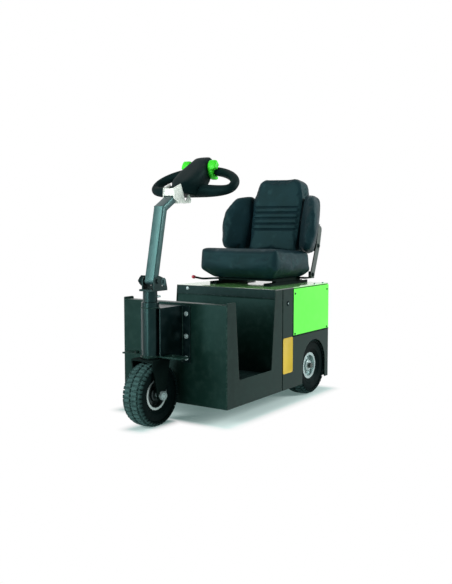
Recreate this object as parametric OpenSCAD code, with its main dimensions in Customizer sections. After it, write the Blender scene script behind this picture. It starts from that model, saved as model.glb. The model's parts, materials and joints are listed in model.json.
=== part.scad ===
// Compact three-wheeled ride-on electric tow tractor with a tiller head and a driver's seat.
// +X points forward, +Y to the driver's left and +Z up. The origin lies on the floor,
// below the middle of the bounding box.

/* [Wheels] */
// Diameter of the front tyre
front_tyre_d = 260; // [235:5:270]
// Width of the front tyre
front_tyre_w = 85; // [75:1:90]
// Diameter of a rear tyre
rear_tyre_d = 272; // [256:2:276]
// Width of a rear tyre
rear_tyre_w = 90; // [80:1:100]
// Diameter across the lips of a rim
rim_d = 126; // [116:1:134]
// Thickness of the pressed rim
rim_t = 4; // [3:0.5:5]
// Gap between a rear tyre and the rear plate
tyre_back_gap = 8; // [6:1:20]
// Gap between a rear tyre and the inner face of its side panel
tyre_gap = 8; // [6:1:14]

/* [Body] */
// Width over the side panels
body_w = 540; // [520:2:600]
// Thickness of the sheet metal
sheet_t = 4; // [3:0.5:5]
// Height of the body's lower edge
body_z = 67; // [58:1:72]
// Distance from the front axle back to the front plate
nose_gap = 150; // [150:1:170]
// Height of the front plate's upper edge
front_z = 488; // [480:1:500]
// How far the side panels stand above the front plate
post_rise = 9; // [4:1:20]
// Height of the rear deck
deck_z = 526; // [510:1:550]
// Length of the side panel round the footwell
well_l = 438; // [420:1:460]
// Length of the dark upright between the seam and the side cover
upright_l = 100; // [85:1:115]
// Length of the side cover
cover_l = 353; // [350:1:380]
// Height of the side cover's lower edge
cover_z = 304; // [296:1:330]
// Gap along the edges of the side cover
cover_gap = 4; // [2:0.5:6]
// Half the width of the rear wheel arch
arch_r = 115; // [105:1:120]
// Height of the top of the rear wheel arch
arch_z = 265; // [255:1:275]

/* [Footwell] */
// Length of the front post at the top of the step opening
post_top_l = 60; // [50:1:75]
// Length of the front post at the sill
post_sill_l = 88; // [76:1:100]
// Length of the step opening at its top
step_top_l = 318; // [300:1:330]
// Length of the step opening at the sill
step_sill_l = 258; // [240:1:275]
// Height of the sill
sill_z = 175; // [170:1:190]
// Height of the floor plate's upper face
floor_z = 158; // [150:1:164]
// Thickness of the floor mat
mat_t = 5; // [3:0.5:6]

/* [Steering head] */
// Outer diameter of the head tube
head_d = 70; // [66:1:76]
// Wall of the head tube
head_wall = 6; // [4:0.5:8]
// Height of the head tube's upper end
head_z = 501; // [495:1:510]
// Diameter of the steering shaft
shaft_d = 46; // [40:1:48]
// Diameter of the collar above the head tube
collar_d = 58; // [54:1:66]
// Width over the gusset plates of the steering bracket
bracket_w = 102; // [96:1:110]
// Height of the steering bracket's top plate
bracket_z = 479; // [465:1:484]
// Width of the cross plate under the head tube
cross_w = 300; // [240:5:340]
// Thickness of a fork leg
leg_t = 6; // [5:0.5:8]
// Gap between the front tyre and a fork leg
leg_gap = 7; // [6:1:10]
// Gap between the front tyre and the fork crown
crown_gap = 8; // [6:1:12]
// Diameter of the front axle
axle_d = 20; // [16:1:24]

/* [Column] */
// Height of the tilt yoke's base plate
yoke_z = 545; // [535:1:560]
// Height of the tilt pivot above the yoke's base plate
pivot_h = 32; // [30:1:36]
// Width of the column tube
post_w = 50; // [40:1:56]
// Depth of the column tube
post_d = 30; // [26:1:34]
// Wall of the column tube
post_wall = 3; // [2:0.5:4]
// Length of the column from the pivot to its bend
post_l = 295; // [280:1:310]
// Lean of the column towards the driver
post_lean = 12; // [5:1:16]
// Length of the upper arm beyond the bend
arm_l = 88; // [78:1:100]
// Rise of the upper arm
arm_rise = 31; // [24:1:36]

/* [Tiller head] */
// Width of the loop handle between the middles of its grips
loop_w = 404; // [370:2:420]
// Length of the loop handle between the middles of its bars
loop_l = 132; // [126:1:138]
// Diameter of the loop's grip
loop_d = 38; // [32:1:40]
// Tilt of the loop handle
loop_tilt = 42; // [38:1:46]
// Length of the control pod
pod_l = 289; // [280:1:300]
// Width of the control pod
pod_w = 92; // [84:1:100]
// Depth of the control pod
pod_h = 96; // [92:1:104]
// Rise of the control pod
pod_rise = 32; // [30:1:34]
// Diameter of a thumb throttle
throttle_d = 98; // [90:1:104]

/* [Seat] */
// Width of the seat cushion
seat_w = 430; // [400:5:460]
// Depth of the seat cushion
seat_l = 330; // [310:1:345]
// Height of the cushion's upper edge at the front
seat_z = 696; // [680:1:710]
// Fall of the cushion towards the back
seat_fall = 22; // [10:1:30]
// Distance from the seam back to the cushion's front edge
seat_set = 38; // [30:1:70]
// Height of the top of the backrest
back_z = 1042; // [1000:2:1060]
// Lean of the backrest
back_lean = 13; // [8:1:16]
// Thickness of the backrest
back_t = 80; // [70:1:90]
// How far the bolsters reach forward of the backrest
wing_fwd = 86; // [60:2:96]
// Width over the bolsters of the backrest
back_w = 500; // [470:2:520]
// Length of a seat rail
rail_l = 355; // [340:1:365]
// Distance between the middles of the seat rails
rail_pitch = 300; // [260:5:320]
// Travel of the seat to either side of its middle place
seat_travel = 60; // [40:5:60]

/* [Drive and hitch] */
// Gap between the battery pack and a side panel
battery_gap = 42; // [20:2:60]
// Length of the battery pack
battery_l = 170; // [150:5:180]
// Height of the battery pack
battery_h = 215; // [190:5:230]
// Diameter of the drive motor
motor_d = 120; // [100:2:130]
// Diameter of the rear axle tube
axle_tube_d = 56; // [50:1:60]
// Diameter of a rear stub axle
stub_d = 25; // [20:1:30]
// How far the hitch reaches behind the rear plate
hitch_l = 78; // [75:1:95]
// Height of the middle of the hitch's jaw
hitch_z = 205; // [190:1:230]
// Opening of the hitch's jaw
jaw_h = 40; // [30:1:50]
// Bore for the hitch pin
hitch_bore_d = 21; // [16:0.5:26]

/* [Hidden] */
$fn = 64;
// Overrun of every cut
over = 1;
// Running clearance of a shaft in its bush, on the radius
run = 0.1;
// Side clearance between sliding or swinging pieces
side_run = 1;
// Steps in a rounded corner
corner_steps = 5;

// Stations along X, counted back from the front axle
body_l = well_l + upright_l + cover_l;
rear_reach = nose_gap + body_l;
overall_l = front_tyre_d / 2 + rear_reach + hitch_l;
axle_x = overall_l / 2 - front_tyre_d / 2;
plate_x = axle_x - nose_gap;
seam_x = plate_x - well_l;
cover_x = seam_x - upright_l;
rear_x = plate_x - body_l;
rear_axle_x = rear_x + sheet_t + tyre_back_gap + rear_tyre_d / 2;
step_front_x = plate_x - post_top_l;
step_back_x = step_front_x - step_top_l;
sill_front_x = plate_x - post_sill_l;
sill_back_x = sill_front_x - step_sill_l;

// Levels and side planes of the body
body_y = body_w / 2;
inner_y = body_y - sheet_t;
post_z = front_z + post_rise;
lid_z = deck_z - sheet_t;
band_h = 42;
top_flange_l = 42;
floor_t = 5;
seam_gap = 7;
arch_mid_z = arch_z - arch_r;
lap = 18;
key_drop = 69;
key_r = 13;
key_x = (seam_x + cover_x) / 2;
key_z = deck_z - key_drop;

// Rear underframe
frame_y = 108;
frame_w = 40;
frame_h = 32;
member_l = 44;
frame_z = body_z + sheet_t;
frame_top = frame_z + frame_h;
saddle_l = 80;
nose_l = 64;
battery_x = step_back_x - sheet_t * 2;
battery_back_x = battery_x - battery_l;
motor_gap = 3;

// Wheels
front_r = front_tyre_d / 2;
rear_r = rear_tyre_d / 2;
rear_y = inner_y - tyre_gap - rear_tyre_w / 2;
rim_r = rim_d / 2;
lip_h = 9;
seat_r = rim_r - lip_h;
bead_share = 0.62;
tread_share = 0.74;
flank_low_share = 0.22;
flank_high_share = 0.74;
flank_in_share = 0.95;
bulge_share = 0.3;
shoulder_share = 0.16;
hub_r = 27;
hub_over = 3;
window_count = 5;
window_d = 15;
window_pitch_share = 0.52;
dish_share = 0.22;

// Steering head
fork_in = front_tyre_w / 2 + leg_gap;
fork_out = fork_in + leg_t;
crown_t = 7;
crown_z = front_r + front_r + crown_gap;
crown_top = crown_z + crown_t;
crown_l = 108;
leg_tip_r = 24;
thrust_t = 4;
thrust_gap = 1;
cross_t = 6;
cross_l = 56;
cross_z = crown_top + thrust_t + thrust_gap;
cross_top = cross_z + cross_t;
nose_margin = 5;
cross_nose_r = head_d / 2 + nose_margin;
bush_l = 34;
gusset_t = 5;
flange_w = 38;
flange_z = 240;
bolt_r = 8;
bolt_h = 7;
stop_y_share = 0.64;
nut_r = 19;
nut_t = 14;
axle_end = 7;
gusset_drop = 18;

// Tilt yoke and column
yoke_t = 8;
cheek_t = 6;
yoke_top = yoke_z + yoke_t;
pivot_set = 9;
pivot_x = axle_x - pivot_set;
pivot_z = yoke_top + pivot_h;
cheek_in = post_w / 2 + side_run;
cheek_out = cheek_in + cheek_t;
pivot_d = 14;
clamp_d = 10;
clamp_reach = 37;
clamp_drop = 4;
tongue_r = 8;
slot_run = 0.5;
tilt_back = 20;
tilt_fwd = 15;
slot_pad = 3;
bolt_head_r = 10;
bolt_head_h = 6;
knob_r = 21;
knob_lobe_r = 7;
knob_h = 20;
knob_lobes = 4;
cheek_front = 22;
cheek_back = 62;
cheek_h = 21;
bend_x = pivot_x - post_l * sin(post_lean);
bend_z = pivot_z + post_l * cos(post_lean);
arm_x = bend_x - arm_l * cos(arm_rise);
arm_z = bend_z + arm_l * sin(arm_rise);

// Tiller head
cradle_t = 4;
cradle_back = 38;
cradle_y = post_w / 2 + cradle_t;
pod_x = arm_x;
pod_z = arm_z;
loop_along_share = 0.665;
loop_up_share = -0.32;
loop_x = pod_x - pod_l * loop_along_share * cos(pod_rise) + pod_h * loop_up_share * sin(pod_rise);
loop_z = pod_z + pod_l * loop_along_share * sin(pod_rise) + pod_h * loop_up_share * cos(pod_rise);
loop_power = 2.4;
loop_sweep = 34;
bar_swell = 9;
loop_rings = 24;
loop_sides = 16;
loop_step = 0.5;
throttle_gap = 3;
collar_t = 4;
collar_w = 12;
paddle_w = 24;
paddle_t = 9;
paddle_from = -105;
paddle_sweep = 190;
pad_w = 40;
pad_sweep = 62;

// Seat
seat_front_x = seam_x - seat_set;
seat_back_x = seat_front_x - seat_l;
rail_w = 38;
rail_h = 13;
slider_w = 20;
slider_in = 7;
rail_y = rail_pitch / 2;
rail_set = 30;
rail_front_x = seat_front_x - rail_set;
pan_rise = 22;
pan_z = deck_z + pan_rise;
pan_t = 8;
cushion_z = pan_z + pan_t;
cushion_r = 32;
pan_inset = 56;
belly_h = 42;
belly_in = 56;
back_clear = 2;
back_low_z = seat_z - seat_fall + back_clear;
back_h = (back_z - back_low_z) / cos(back_lean);
back_set = 12;
back_x = seat_back_x + back_set;
back_half = 146;
board_t = 12;
board_w = 412;
strap_t = 6;
strap_w = 36;
ear_l = 56;
knob_ball_r = 10;
lever_d = 8;
lever_lead = 84;
lever_inset = 12;
bolster_in_share = 1.05;
wing_back_share = 0.9;
wing_tip_share = 0.55;
bolster_h_share = 0.77;
bolster_top_share = 0.84;
bolster_bulge_share = 0.6;
board_low_share = 0.06;
board_h_share = 0.36;
strap_low_share = 0.2;
strap_high_share = 0.8;

// Colours
dark = "#2b2e2d";
lime = "#9fcf1e";
steel = "#8a8d8c";
silver = "#c9ccce";
black = "#17181a";
rubber = "#1d1d1e";
zinc = "#d9dad6";
hide = "#20232b";
red = "#b3201c";

function unit(v) = v / norm(v);
function flat(p) = [p.x, p.y];

// Points of an arc of radius r that rounds the corner b between a and c
function corner(a, b, c, r) =
    let (
        u = unit(a - b),
        v = unit(c - b),
        half = acos(u * v) / 2,
        m = b + unit(u + v) * r / sin(half),
        s = b + u * r / tan(half) - m,
        e = b + v * r / tan(half) - m,
        from = atan2(s.y, s.x),
        sweep = (atan2(e.y, e.x) - from + 540) % 360 - 180
    )
    [for (i = [0:corner_steps]) let (t = from + sweep * i / corner_steps) m + r * [cos(t), sin(t)]];

// Outline whose rows are [x, y, corner radius]
function rounded(rows) =
    let (n = len(rows))
    [for (i = [0:n - 1])
        let (b = rows[i], before = flat(rows[(i + n - 1) % n]), after = flat(rows[(i + 1) % n]))
        each b[2] > 0 ? corner(before, flat(b), after, b[2]) : [flat(b)]];

// Sheet drawn in X and Z, from the plane y towards the middle
module sheet_xz(y, t) {
    translate([0, y, 0]) rotate([90, 0, 0]) linear_extrude(t) children();
}

// Sheet drawn in Y and Z, from the plane x forwards
module sheet_yz(x, t) {
    translate([x, 0, 0]) rotate([90, 0, 90]) linear_extrude(t) children();
}

module block(low, high) {
    translate(low) cube(high - low);
}

module rod_y(d, y0, y1) {
    translate([0, y0, 0]) rotate([-90, 0, 0]) cylinder(d = d, h = y1 - y0);
}

module spin_y() {
    rotate([-90, 0, 0]) rotate_extrude() children();
}

module right_side() {
    mirror([0, 1, 0]) children();
}

module both_sides() {
    children();
    right_side() children();
}

// Front plate with its top flange, between the side panels
module front_plate() {
    color(dark) {
        block([plate_x - sheet_t, -inner_y, body_z], [plate_x, inner_y, front_z]);
        block([plate_x - top_flange_l, -inner_y, front_z - sheet_t], [plate_x - sheet_t, inner_y, front_z]);
    }
}

// Side panel round the footwell, with the step opening
module side_panel() {
    step_r = sheet_t * 2;
    color(dark) sheet_xz(body_y, sheet_t) polygon(rounded([
        [plate_x, body_z, 0],
        [plate_x, post_z, sheet_t],
        [step_front_x, post_z, step_r],
        [sill_front_x, sill_z, step_r],
        [sill_back_x, sill_z, step_r],
        [step_back_x, lid_z, 0],
        [seam_x, lid_z, 0],
        [seam_x, body_z, 0]
    ]));
}

module side_panel_left() side_panel();
module side_panel_right() right_side() side_panel();

module floor_plate() {
    color(dark) block([sill_back_x, -inner_y, floor_z - floor_t], [plate_x - sheet_t, inner_y, floor_z]);
}

// Ribbed mat on the floor plate
module floor_mat() {
    rib_pitch = 24;
    rib_w = 12;
    rib_h = mat_t / 3;
    front = plate_x - sheet_t * 2;
    back = sill_back_x + sheet_t * 2;
    ribs = floor((front - back) / rib_pitch);
    mat_y = inner_y - sheet_t;
    mat_z = floor_z + mat_t;
    color(rubber) {
        block([back, -mat_y, floor_z], [front, mat_y, mat_z - rib_h]);
        for (i = [0:ribs - 1]) {
            x = back + (i + 0.5) * (front - back) / ribs;
            block([x - rib_w / 2, -mat_y, mat_z - rib_h - over], [x + rib_w / 2, mat_y, mat_z]);
        }
    }
}

// Wall behind the driver's feet: a sloping sheet that ends in an upright band under the deck
module well_wall() {
    color(dark) sheet_xz(inner_y, inner_y * 2) polygon([
        [sill_back_x, floor_z],
        [step_back_x, lid_z - band_h],
        [step_back_x, lid_z],
        [step_back_x - sheet_t, lid_z],
        [step_back_x - sheet_t, lid_z - band_h],
        [sill_back_x - sheet_t, floor_z],
        [sill_back_x - sheet_t, floor_z - floor_t],
        [sill_back_x, floor_z - floor_t]
    ]);
}

// Lower rear side panel with its wheel arch and the dark upright in front of the side cover
module rear_side() {
    color(dark) {
        sheet_xz(body_y, sheet_t) difference() {
            polygon([
                [seam_x - seam_gap, body_z],
                [seam_x - seam_gap, lid_z],
                [cover_x + cover_gap, lid_z],
                [cover_x + cover_gap, cover_z - cover_gap],
                [rear_x, cover_z - cover_gap],
                [rear_x, body_z]
            ]);
            translate([rear_axle_x, arch_mid_z]) circle(arch_r);
            translate([rear_axle_x - arch_r, body_z - over]) square([arch_r * 2, arch_mid_z - body_z + over]);
            translate([key_x, key_z]) circle(key_r);
        }
        // Joggled lip that the side cover is screwed to
        sheet_xz(inner_y, sheet_t) polygon([
            [cover_x + cover_gap + lap, lid_z],
            [cover_x - lap, lid_z],
            [cover_x - lap, cover_z + lap],
            [rear_x + sheet_t, cover_z + lap],
            [rear_x + sheet_t, cover_z - cover_gap - lap],
            [cover_x + cover_gap + lap, cover_z - cover_gap - lap]
        ]);
        // Joggled lip behind the seam
        sheet_xz(inner_y, sheet_t) polygon([
            [seam_x - lap, floor_z - floor_t - lap],
            [seam_x - lap, lid_z],
            [step_back_x - sheet_t * 2, lid_z],
            [step_back_x - sheet_t * 2, lid_z - band_h],
            [seam_x + lap, floor_z - floor_t - lap]
        ]);
    }
}

module rear_side_left() rear_side();
module rear_side_right() right_side() rear_side();

// Side cover, screwed to the joggled lips
module side_cover() {
    color(lime) sheet_xz(body_y, sheet_t) polygon(rounded([
        [cover_x, cover_z, sheet_t],
        [cover_x, lid_z - cover_gap, sheet_t],
        [rear_x, lid_z - cover_gap, sheet_t],
        [rear_x, cover_z, sheet_t]
    ]));
}

module side_cover_left() side_cover();
module side_cover_right() right_side() side_cover();

// Deck cover under the seat
module deck_cover() {
    deck_r = sheet_t * 3;
    color(lime) translate([0, 0, lid_z]) linear_extrude(sheet_t) polygon(rounded([
        [step_back_x, -body_y, 0],
        [step_back_x, body_y, 0],
        [rear_x, body_y, deck_r],
        [rear_x, -body_y, deck_r]
    ]));
}

module rear_plate() {
    color(dark) block([rear_x, -inner_y, body_z], [rear_x + sheet_t, inner_y, lid_z]);
}

// Two lengthwise rails with saddles for the rear axle
module chassis_rails() {
    low_y = frame_y - frame_w / 2;
    high_y = frame_y + frame_w / 2;
    color(dark) difference() {
        both_sides() {
            block([rear_x + sheet_t, low_y, frame_z], [plate_x - sheet_t, high_y, frame_top]);
            block([rear_axle_x - saddle_l / 2, low_y, frame_top - over],
                  [rear_axle_x + saddle_l / 2, high_y, rear_r]);
        }
        translate([rear_axle_x, 0, rear_r]) rod_y(axle_tube_d, -body_y, body_y);
    }
}

// Cross members between the rails and the floor plate
module cross_members() {
    color(dark) for (x = [plate_x - sheet_t - member_l, sill_back_x])
        block([x, -inner_y, frame_top], [x + member_l, inner_y, floor_z - floor_t]);
}

// Battery pack: one plain block on the rails behind the footwell
module battery_pack() {
    half = inner_y - sheet_t - battery_gap;
    color(black) block([battery_back_x, -half, frame_top], [battery_x, half, frame_top + battery_h]);
}

// Drive motor bolted to the nose of the differential
module drive_motor() {
    cap_l = 12;
    motor_l = battery_back_x - motor_gap - cap_l - rear_axle_x - nose_l;
    color(steel) translate([rear_axle_x + nose_l, 0, rear_r]) rotate([0, 90, 0]) {
        cylinder(d = motor_d, h = motor_l);
        translate([0, 0, motor_l - over]) cylinder(d = motor_d - cap_l, h = cap_l + over);
    }
}

// Housing of the differential round the axle line, with a nose for the motor
module differential() {
    diff_r = axle_tube_d;
    diff_w = motor_d;
    spin_y() polygon([
        [0, -diff_w / 2], [axle_tube_d / 2, -diff_w / 2], [diff_r, -diff_w / 4],
        [diff_r, diff_w / 4], [axle_tube_d / 2, diff_w / 2], [0, diff_w / 2]
    ]);
    rotate([0, 90, 0]) cylinder(d = axle_tube_d, h = nose_l);
}

// Axle tube with the differential housing, flanges and stub axles
module rear_axle() {
    flange_r = axle_tube_d / 2 + stub_d / 3;
    flange_t = stub_d / 3;
    tube_y = rear_y - hub_half(rear_tyre_w) - side_run * 2;
    stub_y = rear_y + hub_half(rear_tyre_w) + nut_t;
    color(steel) translate([rear_axle_x, 0, rear_r]) {
        rod_y(axle_tube_d, -tube_y, tube_y);
        rod_y(stub_d, -stub_y, stub_y);
        both_sides() rod_y(flange_r * 2, tube_y - flange_t, tube_y);
        differential();
    }
}

// Jaw hitch: a base plate with two ears and an open bore for the drop pin
module tow_hitch() {
    base_w = 150;
    base_h = 150;
    base_t = 8;
    ear_t = 10;
    ear_w = 66;
    ear_r = ear_w / 2;
    eye_x = rear_x - hitch_l + ear_r;
    color(black) {
        block([rear_x - base_t, -base_w / 2, hitch_z - base_h / 2],
              [rear_x, base_w / 2, hitch_z + base_h / 2]);
        for (z = [hitch_z - jaw_h / 2 - ear_t, hitch_z + jaw_h / 2]) translate([0, 0, z]) difference() {
            linear_extrude(ear_t) {
                translate([eye_x, 0]) circle(ear_r);
                translate([eye_x, -ear_r]) square([rear_x - base_t - eye_x + over, ear_w]);
            }
            translate([eye_x, 0, -over]) cylinder(d = hitch_bore_d, h = ear_t + over * 2);
        }
        both_sides() sheet_xz(ear_r, ear_t) for (s = [-1, 1]) polygon([
            [rear_x - base_t + over, hitch_z + s * (jaw_h / 2 + ear_t - over)],
            [eye_x + ear_r / 2, hitch_z + s * (jaw_h / 2 + ear_t - over)],
            [rear_x - base_t + over, hitch_z + s * base_h / 2]
        ]);
    }
}

// Key switch in the left upright, flush with it
module key_switch() {
    color(black) translate([key_x, 0, key_z]) {
        rod_y(key_r * 2, body_y - sheet_t, body_y);
        rod_y(key_r, body_y - sheet_t - key_r, body_y - sheet_t);
    }
}

// Lower seat rails on the deck, each with a slot for its slider
module seat_rails() {
    slot_y = slider_w / 2 + side_run;
    rail_z = deck_z + rail_h;
    color(black) both_sides() difference() {
        block([rail_front_x - rail_l, rail_y - rail_w / 2, deck_z],
              [rail_front_x, rail_y + rail_w / 2, rail_z]);
        block([rail_front_x - rail_l - over, rail_y - slot_y, rail_z - slider_in - side_run],
              [rail_front_x + over, rail_y + slot_y, rail_z + over]);
    }
}

// Bolted bracket that carries the head tube: gussets, flanges and a top plate
module steering_bracket() {
    color(dark) difference() {
        union() {
            both_sides() {
                sheet_xz(bracket_w / 2, gusset_t) polygon([
                    [axle_x, cross_top],
                    [axle_x, bracket_z - gusset_t],
                    [axle_x - gusset_t, bracket_z],
                    [plate_x, bracket_z],
                    [plate_x, cross_top - gusset_drop],
                    [axle_x - cross_l, cross_top]
                ]);
                block([plate_x, bracket_w / 2 - gusset_t, flange_z],
                      [plate_x + gusset_t, bracket_w / 2 + flange_w, bracket_z]);
            }
            block([plate_x, -bracket_w / 2, bracket_z - gusset_t],
                  [axle_x - gusset_t, bracket_w / 2, bracket_z]);
        }
        translate([axle_x, 0, cross_top]) cylinder(d = head_d, h = bracket_z);
    }
}

// Head tube with a bush at each end
module head_tube() {
    bore_r = shaft_d / 2 + run;
    inner_r = head_d / 2 - head_wall;
    color(black) translate([axle_x, 0, 0]) rotate_extrude() polygon([
        [bore_r, cross_top], [head_d / 2, cross_top], [head_d / 2, head_z], [bore_r, head_z],
        [bore_r, head_z - bush_l], [inner_r, head_z - bush_l],
        [inner_r, cross_top + bush_l], [bore_r, cross_top + bush_l]
    ]);
}

// Cross plate under the head tube, with a bolt near each end
module cross_plate() {
    stop_y = cross_w / 2 * stop_y_share;
    stop_x = axle_x - cross_l / 2;
    color(dark) {
        translate([0, 0, cross_z]) linear_extrude(cross_t) difference() {
            union() {
                translate([axle_x - cross_l, -cross_w / 2]) square([cross_l, cross_w]);
                translate([axle_x, 0]) circle(cross_nose_r);
            }
            translate([axle_x, 0]) circle(shaft_d / 2 + side_run);
        }
        both_sides() translate([stop_x, stop_y, cross_top - over])
            cylinder(r = bolt_r, h = bolt_h + over, $fn = 6);
    }
}

// Fork crown with two tapering legs
module fork() {
    color(black) difference() {
        union() {
            block([axle_x - crown_l / 2, -fork_out, crown_z], [axle_x + crown_l / 2, fork_out, crown_top]);
            both_sides() sheet_xz(fork_out, leg_t) {
                polygon([
                    [axle_x - crown_l / 2, crown_top], [axle_x + crown_l / 2, crown_top],
                    [axle_x + crown_l / 2, crown_z - crown_t], [axle_x + leg_tip_r, front_r],
                    [axle_x - leg_tip_r, front_r], [axle_x - crown_l / 2, crown_z - crown_t]
                ]);
                translate([axle_x, front_r]) circle(leg_tip_r);
            }
        }
        translate([axle_x, 0, front_r]) rod_y(axle_d, -fork_out - over, fork_out + over);
    }
}

// Steering shaft with its thrust washer and upper collar
module steering_shaft() {
    shaft_r = shaft_d / 2;
    color(steel) translate([axle_x, 0, 0]) rotate_extrude() polygon([
        [0, crown_top], [shaft_r + head_wall, crown_top], [shaft_r + head_wall, crown_top + thrust_t],
        [shaft_r, crown_top + thrust_t], [shaft_r, head_z + thrust_gap], [collar_d / 2, head_z + thrust_gap],
        [collar_d / 2, yoke_z], [0, yoke_z]
    ]);
}

// Front axle with a nut on each end
module front_axle() {
    end_y = fork_out + nut_t;
    stub_out = end_y + axle_end;
    color(silver) translate([axle_x, 0, front_r]) {
        rod_y(axle_d, -stub_out, stub_out);
        both_sides() translate([0, fork_out, 0]) rotate([-90, 0, 0]) cylinder(r = nut_r, h = nut_t, $fn = 6);
    }
}

// Yoke with two cheeks, each with a curved slot for the clamp bolt
module tilt_yoke() {
    slot_r = clamp_d / 2 + slot_run;
    rest = atan2(clamp_drop, clamp_reach);
    reach = norm([clamp_reach, clamp_drop]);
    color(black) {
        block([pivot_x - cheek_back, -cheek_out, yoke_z], [axle_x + collar_d / 2, cheek_out, yoke_top]);
        both_sides() difference() {
            sheet_xz(cheek_out, cheek_t) polygon(rounded([
                [pivot_x + cheek_front, yoke_z, 0],
                [pivot_x + cheek_front, pivot_z + cheek_h / 2, cheek_h / 2],
                [pivot_x - cheek_h / 2, pivot_z + cheek_h, cheek_h / 2],
                [pivot_x - cheek_back + cheek_h / 2, pivot_z + cheek_h / 3, cheek_h / 2],
                [pivot_x - cheek_back, yoke_top, cheek_t],
                [pivot_x - cheek_back, yoke_z, 0]
            ]));
            translate([pivot_x, 0, pivot_z]) rod_y(pivot_d, cheek_in - over, cheek_out + over);
            translate([pivot_x, cheek_out + over, pivot_z]) rotate([90, 0, 0])
                rotate([0, 0, 180 + rest - tilt_fwd - slot_pad])
                rotate_extrude(angle = tilt_fwd + tilt_back + slot_pad * 2)
                translate([reach - slot_r, 0]) square([slot_r * 2, cheek_t + over * 2]);
            for (a = [-tilt_fwd - slot_pad, tilt_back + slot_pad])
                translate([pivot_x - reach * cos(rest + a), 0, pivot_z - reach * sin(rest + a)])
                rod_y(slot_r * 2, cheek_in - over, cheek_out + over);
        }
        translate([pivot_x, 0, pivot_z]) {
            rod_y(pivot_d, -cheek_out - bolt_head_h, cheek_out + bolt_head_h);
            translate([0, cheek_out, 0]) rotate([-90, 0, 0])
                cylinder(r = bolt_head_r, h = bolt_head_h, $fn = 6);
        }
    }
}

// Lobed knob on the right end of the pivot bolt
module clamp_knob() {
    color(black) translate([pivot_x, -cheek_out, pivot_z]) rotate([90, 0, 0]) difference() {
        linear_extrude(knob_h) {
            circle(knob_r - knob_lobe_r / 2);
            for (i = [0:knob_lobes - 1]) rotate(i * 360 / knob_lobes)
                translate([knob_r - knob_lobe_r, 0]) circle(knob_lobe_r);
        }
        translate([0, 0, -over]) cylinder(d = pivot_d, h = bolt_head_h + over);
    }
}

// Outline of the bent column tube; grow pulls the walls in
function column_line(grow) =
    let (
        h = post_d / 2 - grow,
        up = [-sin(post_lean), cos(post_lean)],
        along = [-cos(arm_rise), sin(arm_rise)],
        up_n = [cos(post_lean), sin(post_lean)],
        along_n = [sin(arm_rise), cos(arm_rise)],
        mitre = unit(up_n + along_n) * h / cos((90 - post_lean - arm_rise) / 2),
        low = [pivot_x, pivot_z],
        bend = [bend_x, bend_z],
        tip = [arm_x, arm_z]
    )
    [low + up_n * h, bend + mitre, tip + along_n * h, tip - along_n * h, bend - mitre, low - up_n * h];

// Bent rectangular column tube on its pivot bush, with the clamp bolt behind it
module column_post() {
    rest_x = pivot_x - clamp_reach;
    rest_z = pivot_z - clamp_drop;
    tongue_t = post_w / 3;
    color(steel) difference() {
        union() {
            difference() {
                sheet_xz(post_w / 2, post_w) polygon(column_line(0));
                sheet_xz(post_w / 2 - post_wall, post_w - post_wall * 2) polygon(column_line(post_wall));
            }
            translate([pivot_x, 0, pivot_z]) rod_y(post_d, -post_w / 2, post_w / 2);
            sheet_xz(tongue_t / 2, tongue_t) {
                polygon([
                    [pivot_x, pivot_z - post_d / 3], [pivot_x - post_d / 2, pivot_z + post_d],
                    [rest_x, rest_z + tongue_r], [rest_x, rest_z - tongue_r]
                ]);
                translate([rest_x, rest_z]) circle(tongue_r);
            }
            translate([rest_x, 0, rest_z]) {
                rod_y(clamp_d, -cheek_out - side_run - bolt_head_h, cheek_out + side_run + bolt_head_h);
                both_sides() translate([0, cheek_out + side_run, 0]) rotate([-90, 0, 0])
                    cylinder(r = bolt_head_r - side_run * 2, h = bolt_head_h, $fn = 6);
            }
        }
        translate([pivot_x, 0, pivot_z]) rod_y(pivot_d + run * 2, -post_w, post_w);
    }
}

// Place a shape drawn in the head's own plane: x along the pod, y up from it
module on_pod(y, t) {
    translate([pod_x, y, pod_z]) rotate([90, 0, 0]) mirror([1, 0, 0]) rotate(pod_rise)
        linear_extrude(t) children();
}

cheek_rows = [
    // along the pod, up from it, corner radius
    [-22, 9, 0], [2, 45, 3], [49, 37, 3], [37, -36, 2], [45, -41, 2], [76, -25, 3],
    [75, -57, 3], [65, -65, 3], [25, -43, 4], [-8, -20, 4]
];
web_rows = [[-14, 17], [3, 42], [7, 40], [-9, 17]];

// Folded cradle between the upper arm and the pod: two notched cheeks, a web and a base
module head_cradle() {
    base = post_d / 2;
    mid_y = cradle_y - cradle_t / 2;
    color(zinc) {
        both_sides() on_pod(cradle_y, cradle_t) polygon(rounded(cheek_rows));
        on_pod(mid_y, mid_y * 2) polygon(web_rows);
        on_pod(mid_y, mid_y * 2) polygon([
            [over, -base - cradle_t], [over, -base], [cradle_back, -base], [cradle_back, -base - cradle_t]
        ]);
    }
}

pod_side_shares = [
    // along share, up share, corner radius share
    [0.01, -0.15, 0], [0.01, 0.32, 0.1], [0.88, 0.42, 0.3], [1, 0.32, 0.16],
    [1, -0.06, 0.16], [0.84, -0.5, 0.24], [0.4, -0.66, 0.2], [0.2, -0.15, 0.1]
];
pod_plan_shares = [[0, 0], [0.27, 0], [0.42, 1], [0.93, 1], [1, 0.7]];

// Control pod: side profile crossed with a plan that widens from the cradle
module tiller_pod() {
    neck = post_w / 2;
    plan = [for (p = pod_plan_shares) [p.x * pod_l, neck + p.y * (pod_w / 2 - neck)]];
    color(black) intersection() {
        on_pod(pod_w, pod_w * 2) polygon(rounded([
            for (p = pod_side_shares) [p.x * pod_l, p.y * pod_h, p[2] * pod_h]
        ]));
        translate([pod_x, 0, pod_z]) rotate([0, 180 + pod_rise, 0]) translate([0, 0, -pod_l])
            linear_extrude(pod_l * 2)
            polygon(concat(plan, [for (i = [len(plan) - 1:-1:0]) [plan[i].x, -plan[i].y]]));
    }
}

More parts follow.
